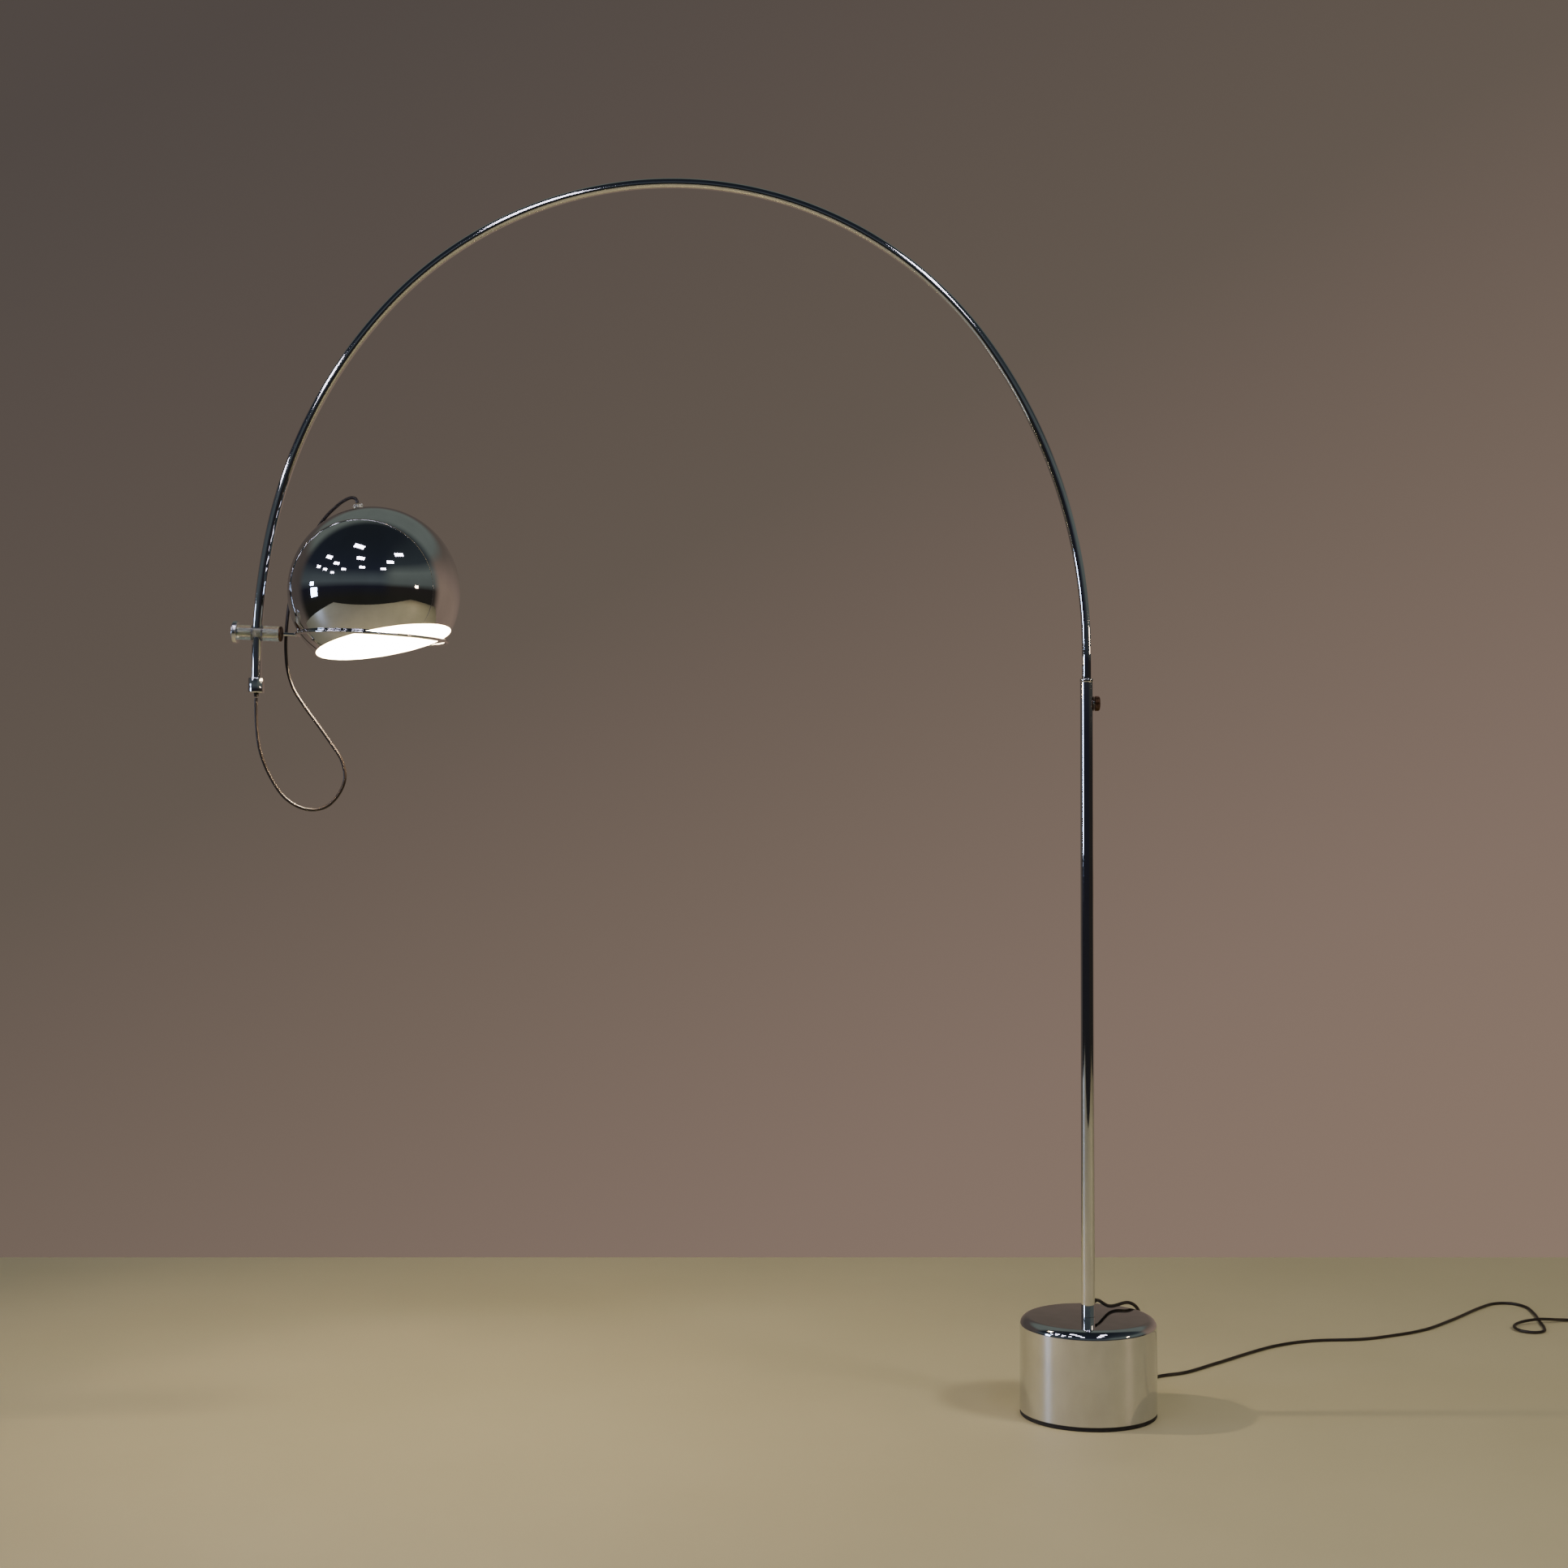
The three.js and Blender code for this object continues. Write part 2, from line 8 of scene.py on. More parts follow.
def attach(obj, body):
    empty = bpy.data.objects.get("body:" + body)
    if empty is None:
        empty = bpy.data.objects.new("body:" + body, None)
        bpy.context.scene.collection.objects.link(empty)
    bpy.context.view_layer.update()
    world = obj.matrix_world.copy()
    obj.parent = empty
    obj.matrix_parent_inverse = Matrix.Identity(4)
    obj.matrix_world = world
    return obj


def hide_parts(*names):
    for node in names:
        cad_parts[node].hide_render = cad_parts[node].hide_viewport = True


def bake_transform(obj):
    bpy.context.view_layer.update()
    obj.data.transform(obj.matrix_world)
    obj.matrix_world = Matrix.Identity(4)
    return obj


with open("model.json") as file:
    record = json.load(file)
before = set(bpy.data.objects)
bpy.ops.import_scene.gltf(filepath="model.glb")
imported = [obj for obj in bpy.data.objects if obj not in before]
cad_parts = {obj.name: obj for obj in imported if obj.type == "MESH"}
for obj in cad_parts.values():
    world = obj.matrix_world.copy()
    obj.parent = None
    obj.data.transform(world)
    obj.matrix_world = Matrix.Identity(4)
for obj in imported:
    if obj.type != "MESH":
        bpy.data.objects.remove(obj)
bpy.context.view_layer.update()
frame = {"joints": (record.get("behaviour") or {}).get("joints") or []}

mm = 0.001
upright = Matrix.Identity(4)
hinges = {joint["name"]: joint for joint in frame["joints"]}


# A 50 mm lens at waist height, level but for a slight tilt up.
camera = {"place": (-0.490, -3.557, 0.964), "tiltUp": 0.8, "lens": 50.52, "sensor": 36}


def addCamera():
    data = bpy.data.cameras.new("camera")
    data.lens = camera["lens"]
    data.sensor_width = camera["sensor"]
    view = bpy.data.objects.new("camera", data)
    view.location = camera["place"]
    view.rotation_euler = (math.radians(90 + camera["tiltUp"]), 0, 0)
    bpy.context.collection.objects.link(view)
    bpy.context.scene.camera = view


def linear(hexColour):
    channels = [int(hexColour[i:i + 2], 16) / 255 for i in (0, 2, 4)]
    return [c / 12.92 if c <= 0.04045 else ((c + 0.055) / 1.055) ** 2.4 for c in channels] + [1]


def addNode(tree, kind, settings=None, **inputs):
    node = tree.nodes.new(kind)
    for name, value in (settings or {}).items():
        setattr(node, name, value)
    for name, value in inputs.items():
        socket = node.inputs[int(name[1:])] if name[0] == "_" else node.inputs[name.replace("_", " ")]
        if isinstance(value, bpy.types.NodeSocket):
            tree.links.new(value, socket)
        else:
            socket.default_value = value
    return node


def startMaterial(name, colour, **inputs):
    material = bpy.data.materials.new(name)
    material.use_nodes = True
    material.diffuse_color = linear(colour)
    tree = material.node_tree
    shader = tree.nodes["Principled BSDF"]
    shader.inputs["Base Color"].default_value = linear(colour)
    for key, value in inputs.items():
        shader.inputs[key.replace("_", " ")].default_value = value
    return material, tree, shader


# Noise on the piece's own coordinates, with features about `size` millimetres across.
def noiseOf(tree, size, detail=3, stretch=(1, 1, 1)):
    place = addNode(tree, "ShaderNodeTexCoord").outputs["Object"]
    if stretch != (1, 1, 1):
        place = addNode(tree, "ShaderNodeMapping", _0=place, Scale=stretch).outputs[0]
    noise = addNode(tree, "ShaderNodeTexNoise", Vector=place, Scale=1 / (size * mm), Detail=detail)
    return noise.outputs[0]


# Stretches the middle of a noise's range to run from `low` to `high`.
def spread(tree, value, low, high, fromLow=0.3, fromHigh=0.7):
    ends = {"From_Min": fromLow, "From_Max": fromHigh, "To_Min": low, "To_Max": high}
    return addNode(tree, "ShaderNodeMapRange", Value=value, **ends).outputs[0]


def tinted(tree, value, first, second):
    node = addNode(tree, "ShaderNodeMix", {"data_type": "RGBA"}, _0=value)
    node.inputs[6].default_value = linear(first)
    node.inputs[7].default_value = linear(second)
    return node.outputs[2]


# A bump of `depth` millimetres.
def bumpOf(tree, height, depth):
    return addNode(tree, "ShaderNodeBump", Height=height, Distance=depth * mm).outputs[0]


def feed(shader, socket, value):
    shader.id_data.links.new(value, shader.inputs[socket])


# Bright chrome plate over nickel: a near mirror, faintly blue, with wiped haze and a soft ripple that
# polishing left.
def polishedChrome(name, ripple=60, rippleDepth=0.02, haze=(0.02, 0.045)):
    material, tree, shader = startMaterial(name, "D9DBDE", Metallic=1)
    smear = noiseOf(tree, 35, 6, (1, 1, 0.5))
    feed(shader, "Roughness", spread(tree, smear, *haze))
    feed(shader, "Base Color", tinted(tree, spread(tree, smear, 0, 1), "DCDEE1", "CFD1D4"))
    feed(shader, "Normal", bumpOf(tree, noiseOf(tree, ripple, 1), rippleDepth))
    return material


# Chrome with a mottled brown base colour: a painted reflection of the brown wall that the chrome mirrors.
def brownReflectionChrome():
    # painted reflection: the brown base colour stands in for the wall seen in the chrome; the noise only
    # varies its tone and roughness at random
    material, tree, shader = startMaterial("brownReflectionChrome", "5C4734", Metallic=1)
    mottle = noiseOf(tree, 6, 4)
    feed(shader, "Base Color", tinted(tree, spread(tree, mottle, 0, 1), "6E5743", "453223"))
    feed(shader, "Roughness", spread(tree, mottle, 0.3, 0.46))
    feed(shader, "Normal", bumpOf(tree, noiseOf(tree, 3), 0.004))
    return material


# Stove enamel inside the shade: warm white with a fine orange peel, and a painted glow that stands in for
# the bulb's light on it.
def glowingWhiteEnamel():
    material, tree, shader = startMaterial("glowingWhiteEnamel", "F4EFE4", Roughness=0.35)
    peel = noiseOf(tree, 2.2, 2)
    feed(shader, "Base Color", tinted(tree, spread(tree, peel, 0, 1), "F6F1E6", "EFE8DA"))
    feed(shader, "Normal", bumpOf(tree, peel, 0.03))
    # painted glow: the enamel gives off light of its own, as if lit by the bulb
    shader.inputs["Emission Color"].default_value = linear("FFF1DC")
    shader.inputs["Emission Strength"].default_value = 1.6
    return material


# Cast and flame-polished acrylic: clear, a breath of green in its thickness, with fine scratches.
def clearAcrylic():
    material, tree, shader = startMaterial("clearAcrylic", "F3F8F4", IOR=1.49, Transmission_Weight=1)
    scratch = noiseOf(tree, 1.5, 4, (1, 1, 6))
    feed(shader, "Roughness", spread(tree, scratch, 0.2, 0.32))
    feed(shader, "Base Color", tinted(tree, spread(tree, scratch, 0, 1), "F5FAF6", "E6EFE8"))
    return material


# Moulded nylon 6: ivory, waxy, slightly translucent.
def ivoryNylon():
    material, tree, shader = startMaterial("ivoryNylon", "E9E0C8", Roughness=0.42, IOR=1.53)
    shader.inputs["Subsurface Weight"].default_value = 0.25
    shader.inputs["Subsurface Radius"].default_value = (0.004, 0.003, 0.002)
    grain = noiseOf(tree, 3, 4)
    feed(shader, "Base Color", tinted(tree, spread(tree, grain, 0, 1), "EEE6D1", "DDD2B6"))
    feed(shader, "Normal", bumpOf(tree, grain, 0.02))
    return material


# Black rubber, moulded: matt, dusty grey in the high spots.
def blackRubber():
    material, tree, shader = startMaterial("blackRubber", "1B1917")
    dust = noiseOf(tree, 9, 5)
    feed(shader, "Base Color", tinted(tree, spread(tree, dust, 0, 1, 0.45, 0.75), "171512", "35322D"))
    feed(shader, "Roughness", spread(tree, dust, 0.7, 0.9))
    feed(shader, "Normal", bumpOf(tree, noiseOf(tree, 0.7), 0.04))
    return material


# Extruded PVC sheath: dark brown-black, satin, with the extruder's faint orange peel.
def pvcSheath():
    material, tree, shader = startMaterial("pvcSheath", "1D1712", IOR=1.54)
    peel = noiseOf(tree, 12, 3)
    feed(shader, "Base Color", tinted(tree, spread(tree, peel, 0, 1), "17120E", "251D17"))
    feed(shader, "Roughness", spread(tree, peel, 0.34, 0.42))
    feed(shader, "Normal", bumpOf(tree, noiseOf(tree, 8, 2), 0.004))
    return material


# Moulded phenolic and ABS: black, with a spark-eroded texture.
def mouldedBlack():
    material, tree, shader = startMaterial("mouldedBlack", "181614", IOR=1.55)
    grain = noiseOf(tree, 0.9, 2)
    feed(shader, "Base Color", tinted(tree, noiseOf(tree, 14, 3), "141210", "24201C"))
    feed(shader, "Roughness", spread(tree, grain, 0.38, 0.55))
    feed(shader, "Normal", bumpOf(tree, grain, 0.03))
    return material


# Turned brass, a little tarnished.
def turnedBrass():
    material, tree, shader = startMaterial("turnedBrass", "C3A05A", Metallic=1)
    tarnish = noiseOf(tree, 5, 5)
    feed(shader, "Base Color", tinted(tree, spread(tree, tarnish, 0, 1), "CDAA63", "94743A"))
    feed(shader, "Roughness", spread(tree, tarnish, 0.2, 0.42))
    feed(shader, "Normal", bumpOf(tree, noiseOf(tree, 0.6, 2, (1, 1, 8)), 0.01))
    return material


# Zinc-plated steel: grey with a pale yellow-blue bloom.
def zincSteel():
    material, tree, shader = startMaterial("zincSteel", "A6A7A4", Metallic=1)
    bloom = noiseOf(tree, 8, 5)
    feed(shader, "Base Color", tinted(tree, spread(tree, bloom, 0, 1), "B4B2A6", "8F9499"))
    feed(shader, "Roughness", spread(tree, bloom, 0.3, 0.5))
    return material


# Grey iron as cast in sand, sealed with dull black paint.
def castIron():
    material, tree, shader = startMaterial("castIron", "3B3936", Metallic=0.4)
    sand = noiseOf(tree, 1.6, 5)
    feed(shader, "Base Color", tinted(tree, spread(tree, sand, 0, 1), "2C2A28", "4B4640"))
    feed(shader, "Roughness", spread(tree, sand, 0.65, 0.9))
    feed(shader, "Normal", bumpOf(tree, sand, 0.25))
    return material


# Pressed wool felt: matt, fuzzy, dark green, flecked.
def greenFelt():
    material, tree, shader = startMaterial("greenFelt", "2F3D2E", Roughness=0.95, Sheen_Weight=0.5)
    fibre = noiseOf(tree, 1.2, 6)
    feed(shader, "Base Color", tinted(tree, spread(tree, fibre, 0, 1), "263225", "435240"))
    feed(shader, "Normal", bumpOf(tree, fibre, 0.3))
    return material


# Glazed steatite.
def whitePorcelain():
    material, tree, shader = startMaterial("whitePorcelain", "EFEBE2", Roughness=0.25)
    pits = noiseOf(tree, 1.8, 3)
    feed(shader, "Base Color", tinted(tree, spread(tree, pits, 0, 1), "F2EEE6", "E4DED1"))
    feed(shader, "Normal", bumpOf(tree, pits, 0.03))
    return material


# Opal glass with the lamp on: a warm white glow, a little uneven.
def litOpal():
    material, tree, shader = startMaterial("litOpal", "FFF6E8", Roughness=0.3)
    shader.inputs["Emission Strength"].default_value = 14
    glow = tinted(tree, noiseOf(tree, 25, 2), "FFF2DD", "FFE9C9")
    feed(shader, "Emission Color", glow)
    return material


chrome = polishedChrome("polishedChrome")
ballChrome = polishedChrome("ballChrome", 90, 0.03, (0.02, 0.035))
tubeChrome = polishedChrome("tubeChrome", 30, 0.006, (0.03, 0.06))
satinChrome = polishedChrome("satinChrome", 8, 0.003, (0.2, 0.3))  # turned, then buffed
wallBrownChrome = brownReflectionChrome()
glowingEnamel = glowingWhiteEnamel()
acrylic = clearAcrylic()
nylon = ivoryNylon()
rubber = blackRubber()
sheath = pvcSheath()
blackPlastic = mouldedBlack()
brass = turnedBrass()
zinc = zincSteel()
iron = castIron()
felt = greenFelt()
porcelain = whitePorcelain()
opal = litOpal()
print("finishes made")


# Makes the shaped mesh a piece that stands for CAD nodes; `soften` rounds its edges, in millimetres.
def addPiece(name, work, material, place, body, nodes, soften=0.0):
    bmesh.ops.remove_doubles(work, verts=work.verts, dist=1e-6)
    bmesh.ops.transform(work, matrix=place, verts=work.verts)
    bmesh.ops.recalc_face_normals(work, faces=work.faces)
    mesh = bpy.data.meshes.new(name)
    work.to_mesh(mesh)
    work.free()
    for face in mesh.polygons:
        face.use_smooth = True
    mesh.materials.append(material)
    piece = bpy.data.objects.new(name, mesh)
    bpy.context.collection.objects.link(piece)
    if soften:
        edge = piece.modifiers.new("softEdges", "BEVEL")
        edge.width = soften * mm
        edge.segments = 3
        edge.limit_method = "ANGLE"
        edge.angle_limit = math.radians(28)
        edge.harden_normals = True
    else:
        mesh.set_sharp_from_angle(angle=math.radians(35))
    if body:
        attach(piece, body)
    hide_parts(*nodes)
    return piece


# Turns a closed outline of (radius, height) in millimetres about Z.
def turned(outline, steps=72, ring=True):
    work = bmesh.new()
    corners = [work.verts.new((radius * mm, 0, height * mm)) for radius, height in outline]
    pairs = list(zip(corners, corners[1:])) + ([(corners[-1], corners[0])] if ring else [])
    edges = [work.edges.new(pair) for pair in pairs]
    bmesh.ops.spin(work, geom=corners + edges, cent=(0, 0, 0), axis=(0, 0, 1),
                   angle=2 * math.pi, steps=steps, use_merge=True)
    bmesh.ops.remove_doubles(work, verts=work.verts, dist=1e-6)
    return work


def sleeve(inner, outer, low, high, steps=64):
    return turned([(inner, low), (outer, low), (outer, high), (inner, high)], steps)


def rod(radius, low, high, steps=48):
    return turned([(0, low), (radius, low), (radius, high), (0, high)], steps, ring=False)


# An outline's round stretch of radius `bend` about (radius, height), between two angles in degrees.
def arcOf(radius, height, bend, start, end, steps):
    angles = [math.radians(start + (end - start) * i / steps) for i in range(steps + 1)]
    return [(radius + bend * math.cos(a), height + bend * math.sin(a)) for a in angles]


def turnTo(angle, axis):
    return Matrix.Rotation(math.radians(angle), 4, axis)


def cutAway(piece, cutter):
    mesh = bpy.data.meshes.new("cutter")
    bmesh.ops.recalc_face_normals(cutter, faces=cutter.faces)
    cutter.to_mesh(mesh)
    cutter.free()
    tool = bpy.data.objects.new("cutter", mesh)
    bpy.context.collection.objects.link(tool)
    hole = piece.modifiers.new("hole", "BOOLEAN")
    hole.operation = "DIFFERENCE"
    hole.solver = "EXACT"
    hole.object = tool
    piece.modifiers.move(len(piece.modifiers) - 1, 0)
    bpy.context.view_layer.objects.active = piece
    with bpy.context.temp_override(object=piece, active_object=piece, selected_objects=[piece]):
        bpy.ops.object.modifier_apply(modifier="hole")
    bpy.data.objects.remove(tool)
    bpy.data.meshes.remove(mesh)


def finishNode(node, material):
    for entry in bpy.data.objects[node].material_slots:
        entry.material = material


# The cords' routes are listed point by point, in metres.
hangingCord = {
    "diameter": 0.0052,
    "stages": [("arch", "liner"), ("liner", "clamp"), ("clamp", "ring"), ("ring", "shade")],
    "splits": [0, 0.242, 0.415, 0.565],  # where each piece starts, along the cord
    "route": [
        (-1.3439, 0, 1.1526), (-1.344, 0, 1.135), (-1.343, 0.001, 1.105), (-1.338, 0.002, 1.069),
        (-1.325, 0.005, 1.032), (-1.301, 0.008, 0.994), (-1.277, 0.010, 0.977), (-1.256, 0.012, 0.972),
        (-1.233, 0.014, 0.977), (-1.213, 0.015, 0.997), (-1.203, 0.016, 1.024), (-1.209, 0.017, 1.053),
        (-1.225, 0.018, 1.078), (-1.249, 0.018, 1.112), (-1.270, 0.017, 1.141), (-1.287, 0.015, 1.169),
        (-1.296, 0.014, 1.198), (-1.299, 0.014, 1.225), (-1.2995, 0.015, 1.247), (-1.299, 0.018, 1.270),
        (-1.297, 0.026, 1.305), (-1.292, 0.032, 1.346), (-1.281, 0.034, 1.383), (-1.261, 0.033, 1.419),
        (-1.238, 0.029, 1.450), (-1.222, 0.026, 1.465), (-1.208, 0.022, 1.475), (-1.194, 0.018, 1.480),
        (-1.1865, 0.0164, 1.4775), (-1.1834, 0.0154, 1.470),
    ],
}
mainsCord = {
    "diameter": 0.0055,
    "route": [
        (0.0145, 0.0173, 0.178), (0.0198, 0.0236, 0.177), (0.028, 0.034, 0.1702),
        (0.0385, 0.046, 0.1623), (0.0505, 0.057, 0.16), (0.0635, 0.067, 0.1616),
        (0.0765, 0.0725, 0.1628), (0.089, 0.074, 0.156), (0.0965, 0.074, 0.14), (0.099, 0.076, 0.116),
        (0.099, 0.084, 0.084), (0.1, 0.101, 0.048), (0.104, 0.126, 0.018), (0.113, 0.158, 0.0044),
        (0.128, 0.192, 0.0028), (0.151, 0.223, 0.0028), (0.2, 0.248, 0.0028), (0.266, 0.311, 0.0028),
        (0.402, 0.441, 0.0028), (0.476, 0.478, 0.0028), (0.569, 0.49, 0.0028), (0.627, 0.515, 0.0028),
        (0.701, 0.56, 0.0028), (0.783, 0.646, 0.0028), (0.869, 0.749, 0.0028), (0.909, 0.785, 0.0028),
        (0.941, 0.785, 0.0028), (0.958, 0.757, 0.0028), (0.955, 0.695, 0.0028), (0.942, 0.622, 0.0028),
        (0.934, 0.578, 0.0028), (0.923, 0.55, 0.0028), (0.901, 0.541, 0.003), (0.88, 0.555, 0.0038),
        (0.879, 0.584, 0.0054), (0.9, 0.606, 0.0074), (0.94, 0.624, 0.0088), (0.976, 0.635, 0.0054),
        (1.016, 0.641, 0.0029), (1.064, 0.629, 0.0028),
    ],
    "tail": [(1.1145, 0.6925, 0.0082), (1.1122, 0.704, 0.0076), (1.1104, 0.714, 0.0071),
             (1.110, 0.722, 0.00695)],
}
# The angles are in degrees, and a change of strand takes a fifth of a turn. A strand is outer (1) or
# inner (-1), and then its layer, turn by turn.
coil = {
    "centre": (1.084, 0.668), "bottom": 0.001, "radius": 0.030,
    "enters": -117, "leaves": 8, "fullTurns": 5, "step": 6, "change": 0.2,
    "strands": [(1, 0), (-1, 0), (-1, 1), (-1, 2), (1, 2), (1, 1)],
}


# A smooth curve through the points, in steps of about `step` metres (a centripetal Catmull-Rom spline).
def smoothRoute(points, step=0.003):
    points = [Vector(p) for p in points]
    padded = [2 * points[0] - points[1]] + points + [2 * points[-1] - points[-2]]
    path = []
    for a, b, c, d in zip(padded, padded[1:], padded[2:], padded[3:]):
        before, inside, after = [(q - p).length ** 0.5 for p, q in ((a, b), (b, c), (c, d))]
        leave = ((b - a) / before - (c - a) / (before + inside) + (c - b) / inside) * inside
        arrive = ((c - b) / inside - (d - b) / (inside + after) + (d - c) / after) * inside
        count = max(1, round((c - b).length / step))
        for i in range(count):
            t = i / count
            path.append(b + leave * t + (3 * (c - b) - 2 * leave - arrive) * t**2
                        + (2 * (b - c) + leave + arrive) * t**3)
    return path + [points[-1]]


# A stiff cord evens out its own bends: each pass draws every inner point a little towards its neighbours.
def relaxed(path, passes=8):
    for _ in range(passes):
        path = [path[0]] + [(a + 2 * b + c) / 4 for a, b, c in zip(path, path[1:], path[2:])] + [path[-1]]
    return path


def lengthOf(path):
    return sum((q - p).length for p, q in zip(path, path[1:]))


# The part of a path between two distances along it.
def stretchOf(path, start, end):
    part, gone = [], 0
    for p, q in zip(path, path[1:]):
        step = (q - p).length
        if not part and gone + step > start:
            part.append(p.lerp(q, (start - gone) / step))
        if part and gone + step >= end:
            return part + [p.lerp(q, (end - gone) / step)]
        if part:
            part.append(q)
        gone += step
    return part


def cordCurve(name, path, diameter):
    data = bpy.data.curves.new(name, "CURVE")
    data.dimensions = "3D"
    data.bevel_depth = diameter / 2
    data.bevel_resolution = 4
    data.use_fill_caps = True
    line = data.splines.new("POLY")
    line.points.add(len(path) - 1)
    for point, place in zip(line.points, path):
        point.co = (*place, 1)
    data.materials.append(sheath)
    piece = bpy.data.objects.new(name, data)
    bpy.context.collection.objects.link(piece)
    return piece


def smoothStep(t):
    t = min(max(t, 0), 1)
    return t * t * (3 - 2 * t)


def coilTurns():
    gauge = mainsCord["diameter"]
    start, end = coil["enters"], coil["leaves"] + 360 * coil["fullTurns"]
    spots = [(coil["radius"] + side * gauge / 2, coil["bottom"] + gauge * (layer + 0.5))
             for side, layer in coil["strands"]]
    arrival = Vector(mainsCord["route"][-1])
    centre = Vector((*coil["centre"], arrival.z))
    came = ((arrival - centre).length, arrival.z)
    path = []
    for angle in range(start + coil["step"], end, coil["step"]):
        turn, within = divmod((angle - start) / 360, 1)
        turn = int(turn)
        previous = spots[turn - 1] if turn else came
        # each change of strand has its own place round the coil
        opens = 0.05 + 0.12 * (coil["fullTurns"] - turn) if turn else 0
        share = smoothStep((within - opens) / coil["change"])
        radius = previous[0] + (spots[turn][0] - previous[0]) * share
        height = previous[1] + (spots[turn][1] - previous[1]) * share
        a = math.radians(angle)
        path.append(Vector((centre.x + radius * math.cos(a), centre.y + radius * math.sin(a), height)))
    return path


def addHangingCord():
    route = smoothRoute(hangingCord["route"])
    ends = hangingCord["splits"][1:] + [lengthOf(route)]
    gauge = hangingCord["diameter"]
    for i, (bodies, start, end) in enumerate(zip(hangingCord["stages"], hangingCord["splits"], ends), 1):
        path = stretchOf(route, start, end)
        curve = cordCurve("cordLine", path, gauge)
        mesh = bpy.data.meshes.new_from_object(curve.evaluated_get(bpy.context.evaluated_depsgraph_get()))
        bpy.data.objects.remove(curve)
        work = bmesh.new()
        work.from_mesh(mesh)
        piece = addPiece(f"shadeCord{i}", work, sheath, upright, None, [f"hanging_cord_{i}"])
        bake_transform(piece)


def addMainsCord():
    path = relaxed(smoothRoute(mainsCord["route"]))
    arrival = path.pop()
    path += smoothRoute([arrival] + coilTurns() + mainsCord["tail"])
    piece = cordCurve("mainsCord", path, mainsCord["diameter"])
    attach(piece, "base")
    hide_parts("mains_cord_1", "mains_cord_2", "mains_cord_3", "mains_cord_tail", "mains_coil")
    length = lengthOf(path)
    print("mains cord length", round(length, 3))
    return piece, path[0], length


addCamera()
addHangingCord()
mains, mainsExit, mainsLength = addMainsCord()
print("cords made")


# The base, in millimetres.
drum = {"radius": 110, "top": 156, "edge": 15, "foot": 6.8, "wall": 1.6, "hole": 6.7}
foot = {"inner": 90, "outer": 109.5, "height": 6.5}


def addBase():
    r, top, edge, wall = drum["radius"], drum["top"], drum["edge"], drum["wall"]
    outline = [(r - wall, drum["foot"]), (r - 0.4, drum["foot"]), (r, drum["foot"] + 0.4)]
    outline += arcOf(r - edge, top - edge, edge, 0, 90, 14)
    outline += [(drum["hole"], top), (drum["hole"], top - wall)]
    outline += arcOf(r - edge, top - edge, edge - wall, 90, 0, 10)
    addPiece("drumCover", turned(outline, 160), chrome, upright, "base", ["base_cover"])

    inner, outer, height = foot["inner"], foot["outer"], foot["height"]
    outline = [(inner, 0), (outer - 1.2, 0), *arcOf(outer - 1.2, 1.2, 1.2, -60, 0, 3)]
    outline += [(outer, height / 2 - 0.5), (outer - 0.5, height / 2), (outer, height / 2 + 0.5)]
    outline += [(outer, height), (inner, height)]
    addPiece("footRing", turned(outline, 120), rubber, upright, "base", ["foot_ring"])


# The post and its lock, in millimetres.
post = {"radius": 11, "bore": 9.5, "bottom": 156.3, "top": 1178, "collarTop": 1184, "slideBore": 8.35,
        "leadHeight": 178, "leadAngle": 50, "leadHole": 4.3, "screwHole": 3.4}
lock = {"radius": 12, "teeth": 40, "knurl": 0.45}


def addPost():
    r, top, slide = post["radius"], post["top"], post["slideBore"]
    tube = addPiece("postTube", sleeve(post["bore"], r, post["bottom"], top, 72), tubeChrome, upright,
                    "base", ["post_tube"])
    exitPlace = Matrix.Translation((0, 0, post["leadHeight"] * mm)) @ turnTo(post["leadAngle"], "Z")
    lockPlace = Matrix.Translation(hinges["post_lock_turn"]["pos_m"])
    lockPlace.translation.x = 0
    for place, hole in ((exitPlace, post["leadHole"]), (lockPlace, post["screwHole"])):
        cutter = rod(hole, 3, 20, 32)
        bmesh.ops.transform(cutter, matrix=place @ turnTo(90, "Y"), verts=cutter.verts)
        cutAway(tube, cutter)
    tube.data.set_sharp_from_angle(angle=math.radians(35))

    collarTop = post["collarTop"]
    outline = [(slide, top + 0.3), (r + 0.1, top + 0.3), (r + 0.3, top + 0.6)]
    outline += arcOf(r - 1.7, collarTop - 2, 2, 0, 90, 8)
    outline += [(slide + 0.4, collarTop), (slide, collarTop - 0.4)]
    addPiece("postCollar", turned(outline), chrome, upright, "base", ["post_collar"])

    # the mains grommet: a flange on the tube's wall and a ribbed, tapering tail
    outline = [(0, 9), (3.9, 9), (3.9, 11.4), (5.3, 11.6), (5.5, 12.4), (5.1, 13.3), (4.6, 13.8)]
    for rib in range(4):
        start = 14 + 2 * rib
        wide, narrow = 4.5 - 0.25 * rib, 3.9 - 0.2 * rib
        outline += [(wide, start), (wide, start + 1.1), (narrow, start + 1.4)]
    outline += [(3.1, 22), (0, 22)]
    addPiece("mainsGrommet", turned(outline, 40, ring=False), rubber, exitPlace @ turnTo(90, "Y"),
             "base", ["mains_grommet"])

    sideways = lockPlace @ turnTo(90, "Y")
    boss = sleeve(3.3, 5, r + 0.2, 12)
    addPiece("lockBoss", boss, chrome, sideways, "base", ["lock_boss"], 0.4)
    addPiece("lockKnob", ribbedKnob(), wallBrownChrome, sideways, "lock", ["lock_knob"])


